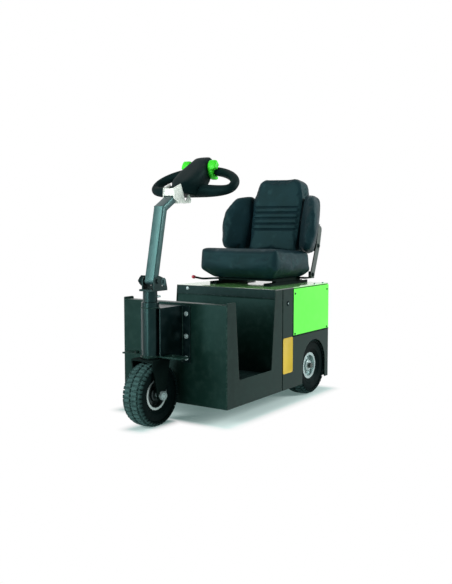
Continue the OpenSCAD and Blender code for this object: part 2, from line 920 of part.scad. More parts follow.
// Point on the middle line of the loop, in the loop's own plane
function loop_point(t) =
    let (across = pow(sin(t), 2 / loop_power))
    [
        sign(cos(t)) * pow(abs(cos(t)), 2 / loop_power) * loop_l / 2 + loop_sweep * across * across,
        across * loop_w / 2
    ];

// Ring of the grip at the angle t; the first and last rings lie flat on the pod
function loop_ring(t, ends) =
    let (
        p = loop_point(t),
        along = unit(loop_point(t + loop_step) - loop_point(t - loop_step)),
        out = ends ? [sign(p.x), 0] : [along.y, -along.x],
        r = loop_d / 2 + bar_swell * pow(max(cos(t), 0), 3)
    )
    [for (i = [0:loop_sides - 1]) let (a = 360 * i / loop_sides)
        [p.x + out.x * r * cos(a), p.y + out.y * r * cos(a), r * sin(a)]];

// One side of the loop handle, swept from the pod round to the pod again
module half_loop() {
    start = asin(pow(pod_w / loop_w, loop_power / 2));
    sweep = 180 - 2 * start;
    rings = [for (i = [0:loop_rings])
        loop_ring(start + sweep * i / loop_rings, i == 0 || i == loop_rings)];
    n = loop_sides;
    polyhedron(
        points = [for (r = rings) each r],
        faces = concat(
            [[for (i = [0:n - 1]) i]],
            [for (k = [0:loop_rings - 1]) for (i = [0:n - 1])
                [k * n + i, (k + 1) * n + i, (k + 1) * n + (i + 1) % n, k * n + (i + 1) % n]],
            [[for (i = [n - 1:-1:0]) loop_rings * n + i]]
        )
    );
}

// Loop handle, a flat oval whose bars end on the sides of the pod
module loop_handle() {
    color(black) translate([loop_x, 0, loop_z]) rotate([0, loop_tilt, 0]) both_sides() half_loop();
}

// Thumb throttle: a collar round the root of the loop's rear bar, with a curved paddle in front of it
module throttle() {
    inner_r = loop_d / 2 + throttle_gap;
    collar_r = inner_r + collar_t;
    outer_r = throttle_d / 2;
    root = loop_point(180 - asin(pow(pod_w / loop_w, loop_power / 2)));
    color(lime) translate([loop_x, pod_w / 2, loop_z]) rotate([0, loop_tilt, 0]) translate([root.x, 0, 0])
        rotate([-90, 0, 0]) {
            rotate_extrude() translate([inner_r, 0]) square([collar_t, collar_w]);
            rotate(paddle_from) rotate_extrude(angle = paddle_sweep)
                translate([collar_r - over, 0]) square([outer_r - collar_r + over, paddle_w]);
            rotate(paddle_from) rotate_extrude(angle = pad_sweep)
                translate([outer_r - paddle_t, 0]) square([paddle_t, pad_w]);
        }
}

module throttle_left() throttle();
module throttle_right() right_side() throttle();

function hub_half(w) = w * bead_share / 2 + hub_over;

// Tyre seated between the lips of its rim
module tyre(d, w) {
    r = d / 2;
    bead = w * bead_share / 2;
    wall = r - rim_r;
    low = rim_r + wall * flank_low_share;
    high = rim_r + wall * flank_high_share;
    rows = [
        // radius, place across, corner radius
        [seat_r, bead, 0], [rim_r, bead, 0], [low, w / 2, wall * bulge_share],
        [high, w / 2 * flank_in_share, wall * bulge_share], [r, w / 2 * tread_share, wall * shoulder_share]
    ];
    n = len(rows);
    color(rubber) spin_y() polygon(rounded(concat(rows, [
        for (i = [n - 1:-1:0]) [rows[i][0], -rows[i][1], rows[i][2]]
    ])));
}

// Pressed rim: barrel with two lips, dished disc with windows, and a hub
module rim(w, bore_d) {
    bead = w * bead_share / 2;
    inner = seat_r - rim_t;
    half = hub_half(w);
    dish = w * dish_share;
    window_r = hub_r + (inner - hub_r) * window_pitch_share;
    color(silver) difference() {
        spin_y() union() {
            polygon([
                [inner, -bead - rim_t], [rim_r, -bead - rim_t], [rim_r, -bead], [seat_r, -bead],
                [seat_r, bead], [rim_r, bead], [rim_r, bead + rim_t], [inner, bead + rim_t]
            ]);
            polygon([
                [hub_r - over, dish - rim_t], [hub_r + rim_t, dish], [inner + over, dish / 2],
                [inner + over, dish / 2 - rim_t], [hub_r + rim_t, dish - rim_t * 2],
                [hub_r - over, dish - rim_t * 2]
            ]);
            polygon([
                [0, -half], [hub_r - rim_t, -half], [hub_r, -half + rim_t],
                [hub_r, half - rim_t], [hub_r - rim_t, half], [0, half]
            ]);
        }
        rod_y(bore_d, -half - over, half + over);
        for (i = [0:window_count - 1]) rotate([0, i * 360 / window_count, 0])
            translate([window_r, 0, 0]) rod_y(window_d, 0, w);
    }
}

module front_tyre() translate([axle_x, 0, front_r]) tyre(front_tyre_d, front_tyre_w);
module front_rim() translate([axle_x, 0, front_r]) rim(front_tyre_w, axle_d + run * 2);
module rear_left_tyre() translate([rear_axle_x, rear_y, rear_r]) tyre(rear_tyre_d, rear_tyre_w);
module rear_left_rim() translate([rear_axle_x, rear_y, rear_r]) rim(rear_tyre_w, stub_d + run * 2);
module rear_right_tyre() right_side() rear_left_tyre();
module rear_right_rim() right_side() rear_left_rim();

// Steel pan under the cushion, on two sliders, with ears for the back frame
module seat_pan() {
    ear_h = 34;
    ear_back = seat_back_x - ear_l;
    slider_l = rail_l - seat_travel * 2;
    slider_x = rail_front_x - seat_travel;
    ear_y = board_w / 2;
    color(black) {
        translate([0, 0, pan_z]) linear_extrude(pan_t) polygon(rounded([
            [seat_front_x - pan_inset, -seat_w / 2 + pan_inset, cushion_r / 2],
            [seat_front_x - pan_inset, seat_w / 2 - pan_inset, cushion_r / 2],
            [seat_back_x, seat_w / 2 - pan_inset, cushion_r / 4],
            [seat_back_x, -seat_w / 2 + pan_inset, cushion_r / 4]
        ]));
        both_sides() {
            block([slider_x - slider_l, rail_y - slider_w / 2, deck_z + rail_h - slider_in],
                  [slider_x, rail_y + slider_w / 2, pan_z + over]);
            sheet_xz(ear_y, strap_t) polygon([
                [seat_back_x + strap_w, pan_z], [seat_back_x + strap_w, pan_z + pan_t],
                [seat_back_x - strap_t, pan_z + pan_t], [seat_back_x - strap_t, pan_z + ear_h],
                [ear_back, pan_z + ear_h], [ear_back, pan_z]
            ]);
            block([seat_back_x + strap_t, seat_w / 2 - pan_inset - strap_t * 3, pan_z],
                  [seat_back_x + strap_w, ear_y - over, pan_z + pan_t]);
        }
    }
}

// Cushion: rounded plan crossed with a side and a front profile, both tapered underneath
module seat_cushion() {
    edge_r = (seat_z - cushion_z) / 3;
    top_r = edge_r / 2;
    side_z = cushion_z + belly_h;
    half = seat_w / 2;
    color(hide) intersection() {
        translate([0, 0, cushion_z]) linear_extrude(seat_z - cushion_z) polygon(rounded([
            [seat_front_x, -half, cushion_r],
            [seat_front_x, half, cushion_r],
            [seat_back_x, half, cushion_r],
            [seat_back_x, -half, cushion_r]
        ]));
        sheet_xz(seat_w, seat_w * 2) polygon(rounded([
            [seat_front_x - belly_in, cushion_z, 0],
            [seat_front_x, side_z, belly_h / 2],
            [seat_front_x, seat_z, top_r],
            [seat_back_x, seat_z - seat_fall, edge_r],
            [seat_back_x, side_z, belly_h / 2],
            [seat_back_x + belly_in / 2, cushion_z, 0]
        ]));
        sheet_yz(seat_back_x, seat_l) polygon(rounded([
            [-half + belly_in, cushion_z, 0],
            [half - belly_in, cushion_z, 0],
            [half, side_z, belly_h / 2],
            [half, seat_z, top_r],
            [-half, seat_z, top_r],
            [-half, side_z, belly_h / 2]
        ]));
    }
}

// Frame of the backrest: origin at the foot of its front face, x forward, z up along the back
module on_back() {
    translate([back_x, 0, back_low_z]) rotate([0, -back_lean, 0]) children();
}

wing_side_shares = [
    // forward share, height share, corner radius share
    [-1, 0, 0], [0.7, 0, 0.3], [1, 0.12, 0.6], [1, 0.56, 1], [0.5, 0.92, 0.8], [-0.2, 1, 0.6], [-1, 1, 0]
];
back_line_shares = [
    // half width share, height share, corner radius share of the half width
    [0.97, 0, 0.2], [1.04, 0.72, 0.5], [0.72, 1, 0.4]
];

// Middle panel of the backrest, narrowing to a rounded head
module backrest() {
    rows = [for (p = back_line_shares) [p[0] * back_half, p[1] * back_h, p[2] * back_half]];
    n = len(rows);
    color(hide) on_back() sheet_yz(-back_t, back_t) polygon(rounded(concat(rows, [
        for (i = [n - 1:-1:0]) [-rows[i][0], rows[i][1], rows[i][2]]
    ])));
}

// Side bolster: a wing in plan crossed with a front outline and a side outline
module bolster() {
    low = back_half * bolster_in_share;
    wing = back_w / 2;
    tip_t = back_t * wing_tip_share;
    tip_r = tip_t / 3;
    bolster_h = back_h * bolster_h_share;
    color(hide) on_back() intersection() {
        linear_extrude(bolster_h) polygon(rounded([
            [-back_t, low, tip_r], [0, low, tip_r / 2], [wing_fwd, wing - tip_t / 2, tip_r],
            [wing_fwd - tip_t / 2, wing, tip_r], [-back_t / 2, wing * wing_back_share, tip_t]
        ]));
        sheet_yz(-back_t * 2, back_t * 4) polygon(rounded([
            [low, 0, 0], [low, bolster_h, tip_r], [wing * bolster_top_share, bolster_h, tip_t],
            [wing, bolster_h * bolster_bulge_share, tip_t], [wing, 0, tip_r]
        ]));
        sheet_xz(wing, wing) polygon(rounded([
            for (p = wing_side_shares) [p[0] * wing_fwd, p[1] * bolster_h, p[2] * tip_t]
        ]));
    }
}

module bolster_left() bolster();
module bolster_right() right_side() bolster();

// Flat strap drawn through points in X and Z
module strap(points) {
    for (p = points) translate(p) circle(d = strap_w);
    for (i = [1:len(points) - 1]) {
        a = points[i - 1];
        b = points[i];
        n = unit([a.y - b.y, b.x - a.x]) * strap_w / 2;
        polygon([a + n, a - n, b - n, b + n]);
    }
}

// Board behind the backrest and two bent straps down to the pan's ears
module back_frame() {
    board_low = back_h * board_low_share;
    board_h = back_h * board_h_share;
    board_x = -back_t - board_t / 2;
    foot = [seat_back_x - ear_l / 2, pan_z + strap_w / 2];
    bend = back_point(board_x, board_low + board_h * strap_low_share);
    top = back_point(board_x, board_low + board_h * strap_high_share);
    color(steel) {
        on_back() translate([-back_t - board_t, -board_w / 2, board_low]) cube([board_t, board_w, board_h]);
        both_sides() sheet_xz(board_w / 2 + strap_t, strap_t) strap([foot, bend, top]);
    }
}

function back_point(x, h) = [
    back_x + x * cos(back_lean) - h * sin(back_lean),
    back_low_z + x * sin(back_lean) + h * cos(back_lean)
];

// Round bar from one point to another
module bar(from, to, d) {
    v = to - from;
    translate(from) rotate([0, acos(v.z / norm(v)), atan2(v.y, v.x)]) cylinder(d = d, h = norm(v));
}

// Bent release lever under the right front of the cushion, with a ball
module slide_lever() {
    root = [rail_front_x - seat_travel - slider_w, -rail_y - slider_w / 2, pan_z];
    elbow = [root.x, -seat_w / 2, root.z];
    tip = [elbow.x + lever_lead, -body_y + lever_inset, pan_z + knob_ball_r];
    color(black) {
        bar(root, elbow, lever_d);
        translate(elbow) sphere(d = lever_d + over);
        bar(elbow, tip, lever_d);
    }
    color(red) translate(tip) sphere(knob_ball_r);
}

front_plate();
side_panel_left();
side_panel_right();
floor_plate();
floor_mat();
well_wall();
rear_side_left();
rear_side_right();
side_cover_left();
side_cover_right();
deck_cover();
rear_plate();
chassis_rails();
cross_members();
battery_pack();
drive_motor();
rear_axle();
tow_hitch();
key_switch();
seat_rails();
steering_bracket();
head_tube();
cross_plate();
fork();
steering_shaft();
front_axle();
tilt_yoke();
clamp_knob();
column_post();
head_cradle();
tiller_pod();
loop_handle();
throttle_left();
throttle_right();
front_tyre();
front_rim();
rear_left_tyre();
rear_left_rim();
rear_right_tyre();
rear_right_rim();
seat_pan();
seat_cushion();
backrest();
bolster_left();
bolster_right();
back_frame();
slide_lever();
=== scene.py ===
import json
import math
import bpy
import bmesh
from mathutils.bvhtree import BVHTree
from mathutils import Matrix, Vector


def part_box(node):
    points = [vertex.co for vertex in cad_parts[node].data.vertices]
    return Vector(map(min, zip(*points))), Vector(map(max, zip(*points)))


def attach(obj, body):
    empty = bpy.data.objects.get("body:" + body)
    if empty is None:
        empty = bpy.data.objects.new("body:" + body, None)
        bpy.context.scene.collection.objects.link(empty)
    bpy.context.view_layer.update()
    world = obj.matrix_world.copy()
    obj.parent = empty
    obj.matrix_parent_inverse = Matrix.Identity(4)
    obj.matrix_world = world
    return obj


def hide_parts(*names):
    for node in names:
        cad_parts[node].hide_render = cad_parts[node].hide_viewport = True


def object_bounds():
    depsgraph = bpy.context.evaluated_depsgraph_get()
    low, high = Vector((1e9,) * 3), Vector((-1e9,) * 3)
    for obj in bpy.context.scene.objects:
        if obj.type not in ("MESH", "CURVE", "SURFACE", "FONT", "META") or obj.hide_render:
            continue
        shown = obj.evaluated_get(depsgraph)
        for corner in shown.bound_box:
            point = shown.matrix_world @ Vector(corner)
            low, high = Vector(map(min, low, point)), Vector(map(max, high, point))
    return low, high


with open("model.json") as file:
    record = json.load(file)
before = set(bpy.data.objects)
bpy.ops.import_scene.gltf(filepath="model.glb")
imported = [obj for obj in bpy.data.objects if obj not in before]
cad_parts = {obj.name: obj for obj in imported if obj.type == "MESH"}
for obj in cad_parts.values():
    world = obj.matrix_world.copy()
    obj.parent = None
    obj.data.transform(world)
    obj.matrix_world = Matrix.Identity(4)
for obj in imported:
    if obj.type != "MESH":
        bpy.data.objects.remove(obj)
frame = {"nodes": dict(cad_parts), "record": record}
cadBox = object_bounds()
nodes = frame["nodes"]
scene = bpy.context.scene
scene.view_settings.view_transform = "Standard"
mm = 0.001
print("frame loaded with", len(nodes), "nodes")


class Wire:  # a socket that takes part in expressions
    def __init__(self, graph, socket):
        self.graph = graph
        self.socket = socket

    def __add__(self, other):
        return self.graph.math("ADD", self, other)

    def __sub__(self, other):
        return self.graph.math("SUBTRACT", self, other)

    def __rsub__(self, other):
        return self.graph.math("SUBTRACT", other, self)

    def __mul__(self, other):
        return self.graph.math("MULTIPLY", self, other)

    def __truediv__(self, other):
        return self.graph.math("DIVIDE", self, other)

    def __rtruediv__(self, other):
        return self.graph.math("DIVIDE", other, self)

    def __mod__(self, other):
        return self.graph.math("FLOORED_MODULO", self, other)

    __radd__ = __add__
    __rmul__ = __mul__

    def also(self, name):  # another output of the same node
        return Wire(self.graph, self.socket.node.outputs[name])


class Graph:  # one node tree, of a material, the world or a modifier
    def __init__(self, tree):
        self.tree = tree

    def add(self, kind, settings=None, sockets=None, out=0):
        node = self.tree.nodes.new(kind)
        for key, value in (settings or {}).items():
            setattr(node, key, value)
        for key, value in (sockets or {}).items():
            if isinstance(value, Wire):
                self.tree.links.new(value.socket, node.inputs[key])
            else:
                node.inputs[key].default_value = value
        return Wire(self, node.outputs[out]) if node.outputs else node

    def math(self, operation, a, b=0.0):
        return self.add("ShaderNodeMath", {"operation": operation}, {0: a, 1: b})

    def span(self, value, low, high, a=0.0, b=1.0):  # value low..high to a..b, held outside
        return self.add("ShaderNodeMapRange", {"interpolation_type": "SMOOTHSTEP"},
                        {0: value, 1: low, 2: high, 3: a, 4: b})

    def vector(self, x, y, z):
        return self.add("ShaderNodeCombineXYZ", {}, {0: x, 1: y, 2: z})

    def vectorMath(self, operation, a, b=(0, 0, 0), out="Vector"):
        return self.add("ShaderNodeVectorMath", {"operation": operation}, {0: a, 1: b}, out)


class Finish(Graph):  # a material with one Principled shader
    def __init__(self, name, constants):
        self.material = bpy.data.materials.new(name)
        self.material.use_nodes = True
        super().__init__(self.material.node_tree)
        self.shader = self.tree.nodes["Principled BSDF"]
        for key, value in constants.items():
            self.shader.inputs[key].default_value = value
        self.place = self.add("ShaderNodeTexCoord", out="Object")

    def feed(self, key, wire):
        self.tree.links.new(wire.socket, self.shader.inputs[key])

    def noise(self, scale, detail=2.0, rough=0.5, place=None):
        return self.add("ShaderNodeTexNoise", {}, {
            "Vector": place or self.place, "Scale": scale, "Detail": detail, "Roughness": rough})

    def cells(self, scale, feature="F1", out="Distance"):
        return self.add("ShaderNodeTexVoronoi", {"feature": feature}, {"Vector": self.place, "Scale": scale}, out)

    def stretched(self, scale):  # coordinates stretched along an axis
        return self.add("ShaderNodeMapping", {}, {"Vector": self.place, "Scale": scale})

    def mix(self, factor, a, b):
        return self.add("ShaderNodeMix", {"data_type": "RGBA"}, {0: factor, 6: a, 7: b}, 2)

    def bump(self, height, strength, distance, normal=None):
        sockets = {"Height": height, "Strength": strength, "Distance": distance}
        if normal:
            sockets["Normal"] = normal
        return self.add("ShaderNodeBump", {}, sockets)

    def softEdge(self, radius):  # normal that rounds the sharp edges
        return self.add("ShaderNodeBevel", {"samples": 4}, {"Radius": radius})

    def edgeMask(self, radius):  # 1 along the sharp edges
        flat = self.add("ShaderNodeNewGeometry", out="Normal")
        same = self.vectorMath("DOT_PRODUCT", self.softEdge(radius), flat, out="Value")
        return self.span(1.0 - same, 0.01, 0.16)


def shade(red, green, blue):  # 0..255 as seen on a screen, to a colour for a socket
    def linear(value):
        value /= 255
        return value / 12.92 if value <= 0.04045 else ((value + 0.055) / 1.055) ** 2.4
    return (linear(red), linear(green), linear(blue), 1.0)


cameraFit = {"place": (2.9013, 1.9832, 0.810), "turn": 33.92, "pitch": 4.95, "lens": 48.19}


def makeCamera(fit):
    turn, pitch = math.radians(fit["turn"]), math.radians(fit["pitch"])
    back = Vector((math.cos(turn) * math.cos(pitch), math.sin(turn) * math.cos(pitch), math.sin(pitch)))
    right = Vector((-math.sin(turn), math.cos(turn), 0))
    basis = Matrix((right, back.cross(right), back)).transposed().to_4x4()
    data = bpy.data.cameras.new("studioCamera")
    data.lens, data.sensor_width = fit["lens"], 36
    camera = bpy.data.objects.new("studioCamera", data)
    camera.matrix_world = Matrix.Translation(fit["place"]) @ basis
    scene.collection.objects.link(camera)
    scene.camera = camera


stageLook = {
    # floorTone and shade are painted shadow colour: the floor turns teal only near the machine, where its shadow falls
    "floorHalf": 40, "floorTone": (0.8, 0.93, 0.91, 1), "margin": (-0.028, 0.075), "tinted": (-0.01, 0.035),
    "shade": (0.62, 1.0, 0.95, 1), "ambient": 0.13,
    "kept": [((-0.1, 0.0), (0.45, 0.27)), ((0.49, 0.0), (0.09, 0.02))],  # parts of the floor that keep the shadow
    "lamps": [  # place, width and height, watts
        ((3.9, -1.7, 2.4), (1.8, 1.8), 116),
        ((-2.3, 3.7, 2.3), (2.2, 2.2), 184),
        ((-0.6, 0.6, 4.6), (2.6, 2.6), 30),
        ((2.6, -0.05, 0.46), (0.6, 0.86), 18),
        ((3.1, -1.72, 0.66), (0.5, 1.2), 18),
    ],
    "aim": (-0.1, 0.0, 0.45),
}


def seenDirectly(graph):  # 1 for rays that show the backdrop itself
    path = graph.add("ShaderNodeLightPath", out="Is Camera Ray")
    glossy = graph.math("MAXIMUM", path, path.also("Is Glossy Ray"))
    return graph.math("MAXIMUM", glossy, path.also("Is Transmission Ray"))


def makeStage(look):
    world = bpy.data.worlds.new("softRoom")
    world.use_nodes = True
    scene.world = world
    graph = Graph(world.node_tree)
    strength = look["ambient"] + seenDirectly(graph) * (1 - look["ambient"])
    graph.tree.links.new(strength.socket, graph.tree.nodes["Background"].inputs["Strength"])
    graph.tree.nodes["Background"].inputs["Color"].default_value = (1, 1, 1, 1)

    half = look["floorHalf"]
    mesh = bpy.data.meshes.new("studioFloor")
    low = cadBox[0].z
    mesh.from_pydata([(-half, -half, low), (half, -half, low), (half, half, low), (-half, half, low)],
                     [], [(0, 1, 2, 3)])
    floor = bpy.data.objects.new("studioFloor", mesh)
    scene.collection.objects.link(floor)
    finish = Finish("paleFloor", {})
    matt = finish.add("ShaderNodeBsdfDiffuse", {}, {"Color": look["floorTone"]})
    reach = None
    for middle, size in look["kept"]:
        offset = finish.vectorMath("SUBTRACT", finish.place, (*middle, 0))
        offset = finish.vectorMath("SUBTRACT", finish.vectorMath("ABSOLUTE", offset), (*size, 1))
        gap = finish.vectorMath("LENGTH", finish.vectorMath("MAXIMUM", offset, (0, 0, 0)), out="Value")
        reach = gap if reach is None else finish.math("MINIMUM", reach, gap)
    away = finish.span(reach, *look["margin"]) * seenDirectly(finish)
    # painted shadow tint: the floor's glow is teal close to the machine, lifting and tinting its shadow, and white
    # further out
    tone = finish.mix(finish.span(reach, *look["tinted"]), look["shade"], (1, 1, 1, 1))
    plain = finish.add("ShaderNodeEmission", {}, {"Color": tone, "Strength": 1.0})
    both = finish.add("ShaderNodeMixShader", {}, {0: away, 1: matt, 2: plain})
    finish.tree.links.new(both.socket, finish.tree.nodes["Material Output"].inputs["Surface"])
    finish.tree.nodes.remove(finish.shader)
    mesh.materials.append(finish.material)

    for index, (place, size, watts) in enumerate(look["lamps"]):
        data = bpy.data.lights.new("softBox%d" % index, "AREA")
        data.shape, data.size, data.size_y, data.energy = "RECTANGLE", *size, watts
        lamp = bpy.data.objects.new("softBox%d" % index, data)
        away = Vector(place) - Vector(look["aim"])
        lamp.matrix_world = Matrix.Translation(place) @ away.to_track_quat("Z", "Y").to_matrix().to_4x4()
        scene.collection.objects.link(lamp)


makeCamera(cameraFit)
makeStage(stageLook)
print("stage and camera set")


tealSheen = (0.36, 0.88, 0.84, 1)  # tint of the reflections on the dark finishes
plainSheen = (1, 1, 1, 1)
paintLooks = {
    "bodyPaint": {"dark": shade(8, 28, 23), "light": shade(11, 33, 28), "worn": shade(76, 100, 92),
                  "gloss": 0.16, "rough": (0.3, 0.42), "edge": 0.0022, "wear": 0.5, "peel": 0.1},
    "limePaint": {"dark": shade(98, 246, 72), "light": shade(104, 250, 78), "worn": shade(170, 250, 140),
                  "gloss": 0.25, "tint": plainSheen, "rough": (0.28, 0.36), "edge": 0.002, "wear": 0.3, "peel": 0.06},
    "blackMetal": {"dark": shade(8, 17, 17), "light": shade(12, 23, 23), "worn": shade(84, 98, 98),
                   "gloss": 0.24, "rough": (0.34, 0.48), "edge": 0.0015, "wear": 0.55, "peel": 0.1},
    "tubePaint": {"dark": shade(3, 13, 15), "light": shade(5, 17, 19), "worn": shade(90, 110, 110),
                  "gloss": 0.3, "rough": (0.28, 0.34), "edge": 0.0015, "wear": 0.3, "peel": 0.01},
    # near-black paint of the seat rails and pan, also used as painted shade on the fork and on the dark strips in the
    # side gaps
    "railPaint": {"dark": shade(3, 9, 8), "light": shade(5, 13, 11), "worn": shade(40, 60, 54),
                  "gloss": 0.06, "rough": (0.55, 0.7), "edge": 0.0012, "wear": 0.3, "peel": 0.1},
    "yellowPlate": {"dark": shade(194, 162, 34), "light": shade(208, 178, 46), "worn": shade(170, 140, 70),
                    "gloss": 0.3, "tint": plainSheen, "rough": (0.35, 0.5), "edge": 0.0008, "wear": 0.4, "peel": 0.05},
    "columnPaint": {"dark": shade(28, 46, 48), "light": shade(34, 54, 56), "worn": shade(118, 140, 138),
                    "gloss": 0.6, "rough": (0.28, 0.4), "edge": 0.0018, "wear": 0.45, "peel": 0.06},
}
paintGrain = {"cloud": 5, "dust": 34, "chips": 110, "peel": 420, "peelDeep": 0.0006, "chipWide": 1.6, "dusty": 0.06}


def sheenFinish(name, look):
    return Finish(name, {"Specular IOR Level": look["gloss"], "Specular Tint": look.get("tint", tealSheen)})


def paintFinish(name, look):
    finish, grain = sheenFinish(name, look), paintGrain
    cloud = finish.span(finish.noise(grain["cloud"], 4), 0.35, 0.65)
    dust = finish.span(finish.noise(grain["dust"], 6, 0.6), 0.42, 0.72)
    edges = finish.edgeMask(look["edge"] * grain["chipWide"])
    chips = edges * finish.span(finish.noise(grain["chips"], 3), 0.44, 0.6)
    base = finish.mix(cloud, look["dark"], look["light"])
    base = finish.mix(dust * grain["dusty"], base, look["worn"])
    finish.feed("Base Color", finish.mix(chips * look["wear"], base, look["worn"]))
    finish.feed("Roughness", finish.span(dust * 0.6 + cloud * 0.4, 0, 1, *look["rough"]))
    peel = finish.noise(grain["peel"], 2)
    finish.feed("Normal", finish.bump(peel, look["peel"], grain["peelDeep"], finish.softEdge(look["edge"])))
    return finish


# lip is the dark colour of the front lip, of the scuffs, and of the painted shadow along the side edges
deckLook = {"lime": shade(132, 216, 122), "light": shade(140, 222, 130), "lip": shade(12, 26, 24), "edge": 0.002,
            "ends": (-0.196, -0.190), "rim": (0.0012, 0.0002), "scuffed": 0.2}


def deckFinish(name, look):  # glossy lime sheet with a dark front lip, and painted shadow darkening its side edges in front of the cover
    finish = Finish(name, {"Coat Weight": 1.0, "Coat Roughness": 0.06, "Coat IOR": 1.9, "Roughness": 0.35})
    along = finish.add("ShaderNodeSeparateXYZ", {}, {0: finish.place}, "X")
    across = finish.math("ABSOLUTE", along.also("Y"))
    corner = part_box("deck_cover")[1]
    near, far = look["rim"]
    base = finish.mix(finish.span(finish.noise(6, 4), 0.35, 0.65), look["lime"], look["light"])
    scuffs = finish.span(finish.noise(60, 5, 0.62, finish.stretched((1, 5, 1))), 0.6, 0.75)
    base = finish.mix(scuffs * look["scuffed"], base, look["lip"])
    # painted shadow: the side edges in front of the cover take the dark colour, standing in for the seat rails' shadow;
    # the front edge takes it too
    rim = finish.span(across, corner.y - near, corner.y - far) * finish.span(along, *look["ends"])
    rim = finish.math("MAXIMUM", rim, finish.span(along, corner.x - near, corner.x - far))
    finish.feed("Base Color", finish.mix(rim, base, look["lip"]))
    finish.feed("Normal", finish.bump(finish.noise(300, 2), 0.04, 0.0005, finish.softEdge(look["edge"])))
    return finish


metalLooks = {
    "greySteel": {"dark": shade(58, 68, 66), "light": shade(82, 92, 88), "metal": 0.6,
                  "rough": (0.4, 0.58), "edge": 0.0012, "spangle": 320, "contrast": 0.2},
    # the front rim's own copy of the rim metal: its dish is painted dark as the fork's shadow, and its outer edge takes
    # a painted highlight
    "rimShade": {"dark": shade(30, 42, 42), "light": shade(46, 60, 60), "metal": 0.7,
                 "rough": (0.3, 0.42), "edge": 0.0012, "spangle": 400, "contrast": 0.2,
                 "lip": (0.4945, 0.130, 0.0525, 0.002), "bright": shade(190, 204, 202)},
    "rimSilver": {"dark": shade(140, 164, 164), "light": shade(180, 200, 198), "metal": 0.5,
                  "rough": (0.22, 0.34), "edge": 0.0012, "spangle": 400, "contrast": 0.2},
    "zincPlate": {"dark": shade(172, 184, 176), "light": shade(232, 238, 230), "metal": 0.15,
                  "rough": (0.42, 0.6), "edge": 0.0012, "spangle": 420, "contrast": 0.8},
}


def metalFinish(name, look):
    finish = Finish(name, {"Metallic": look["metal"]})
    flake = finish.add("ShaderNodeSeparateColor", {}, {0: finish.cells(look["spangle"], out="Color")})
    brush = finish.noise(30, 5, 0.6, finish.stretched((1, 1, 9)))
    tone = finish.span(flake * look["contrast"] + brush * (1 - look["contrast"]), 0.2, 0.8)
    base = finish.mix(tone, look["dark"], look["light"])
    if "lip" in look:  # painted highlight on the rim edge, round a dish painted dark as shade
        x, z, radius, soft = look["lip"]
        spoke = finish.vectorMath("MULTIPLY", finish.vectorMath("SUBTRACT", finish.place, (x, 0, z)), (1, 0, 1))
        away = finish.vectorMath("LENGTH", spoke, out="Value")
        base = finish.mix(finish.span(away, radius, radius + soft), base, look["bright"])
    finish.feed("Base Color", base)
    finish.feed("Roughness", finish.span(brush, 0.3, 0.7, *look["rough"]))
    finish.feed("Normal", finish.bump(finish.noise(600, 2), 0.08, 0.0004, finish.softEdge(look["edge"])))
    return finish


mouldedLooks = {
    "blackPlastic": {"gloss": 0.08, "dark": shade(4, 17, 18), "light": shade(7, 23, 24), "rough": (0.52, 0.64),
                     "grain": 700, "depth": 0.2, "edge": 0.0014},
    "limePlastic": {"gloss": 0.2, "dark": shade(52, 214, 38), "light": shade(64, 226, 48), "rough": (0.3, 0.4),
                    "tint": plainSheen, "grain": 900, "depth": 0.02, "edge": 0.0012},
    "knobRed": {"gloss": 0.3, "dark": shade(158, 46, 64), "light": shade(178, 58, 76), "rough": (0.25, 0.35),
                "tint": plainSheen, "grain": 900, "depth": 0.04, "edge": 0.0008},
    "seatThread": {"gloss": 0.1, "dark": shade(26, 44, 50), "light": shade(44, 66, 72), "rough": (0.6, 0.75),
                   "grain": 1600, "depth": 0.3, "edge": 0.0003},
    "matRubber": {"gloss": 0.12, "dark": shade(8, 21, 20), "light": shade(15, 32, 30), "rough": (0.6, 0.8),
                  "grain": 420, "depth": 0.3, "edge": 0.0008},
    "batteryCase": {"gloss": 0.15, "dark": shade(24, 30, 32), "light": shade(32, 40, 42), "rough": (0.45, 0.6),
                    "grain": 500, "depth": 0.2, "edge": 0.003},
    "tyreRubber": {"gloss": 0.06, "dark": shade(2, 8, 8), "light": shade(5, 14, 14), "rough": (0.58, 0.75),
                   "grain": 380, "depth": 0.25, "edge": 0.001, "dust": shade(56, 82, 80)},
}


def mouldedFinish(name, look):
    finish = sheenFinish(name, look)
    cloud = finish.span(finish.noise(14, 5, 0.6), 0.35, 0.68)
    base = finish.mix(cloud, look["dark"], look["light"])
    if "dust" in look:  # paler where the tread meets the ground
        worn = finish.add("ShaderNodeAttribute", {"attribute_name": "tread"}, out="Fac")
        base = finish.mix(worn * finish.span(finish.noise(60, 4), 0.2, 0.6, 0.5, 1.0), base, look["dust"])
    finish.feed("Base Color", base)
    finish.feed("Roughness", finish.span(cloud, 0, 1, *look["rough"]))
    grain = finish.cells(look["grain"])
    finish.feed("Normal", finish.bump(grain, look["depth"], 0.0005, finish.softEdge(look["edge"])))
    return finish


vinylLook = {"dark": shade(9, 27, 33), "light": shade(14, 35, 42), "worn": shade(36, 62, 70), "gloss": 0.2,
             "rough": (0.52, 0.36), "pebble": 520, "crease": 130, "rubbed": 0.25, "depth": 0.22}


def vinylFinish(name, look):
    finish = sheenFinish(name, look)
    cloud = finish.span(finish.noise(9, 5), 0.35, 0.66)
    pebble = finish.cells(look["pebble"], "DISTANCE_TO_EDGE")
    crease = finish.cells(look["crease"], "DISTANCE_TO_EDGE")
    rubbed = finish.span(finish.noise(20, 6, 0.62), 0.52, 0.75)
    base = finish.mix(cloud, look["dark"], look["light"])
    finish.feed("Base Color", finish.mix(rubbed * look["rubbed"], base, look["worn"]))
    finish.feed("Roughness", finish.span(rubbed, 0, 1, *look["rough"]))
    relief = finish.span(pebble, 0, 0.35) + finish.span(crease, 0, 0.06) * 0.5
    finish.feed("Normal", finish.bump(relief, look["depth"], 0.0006))
    return finish


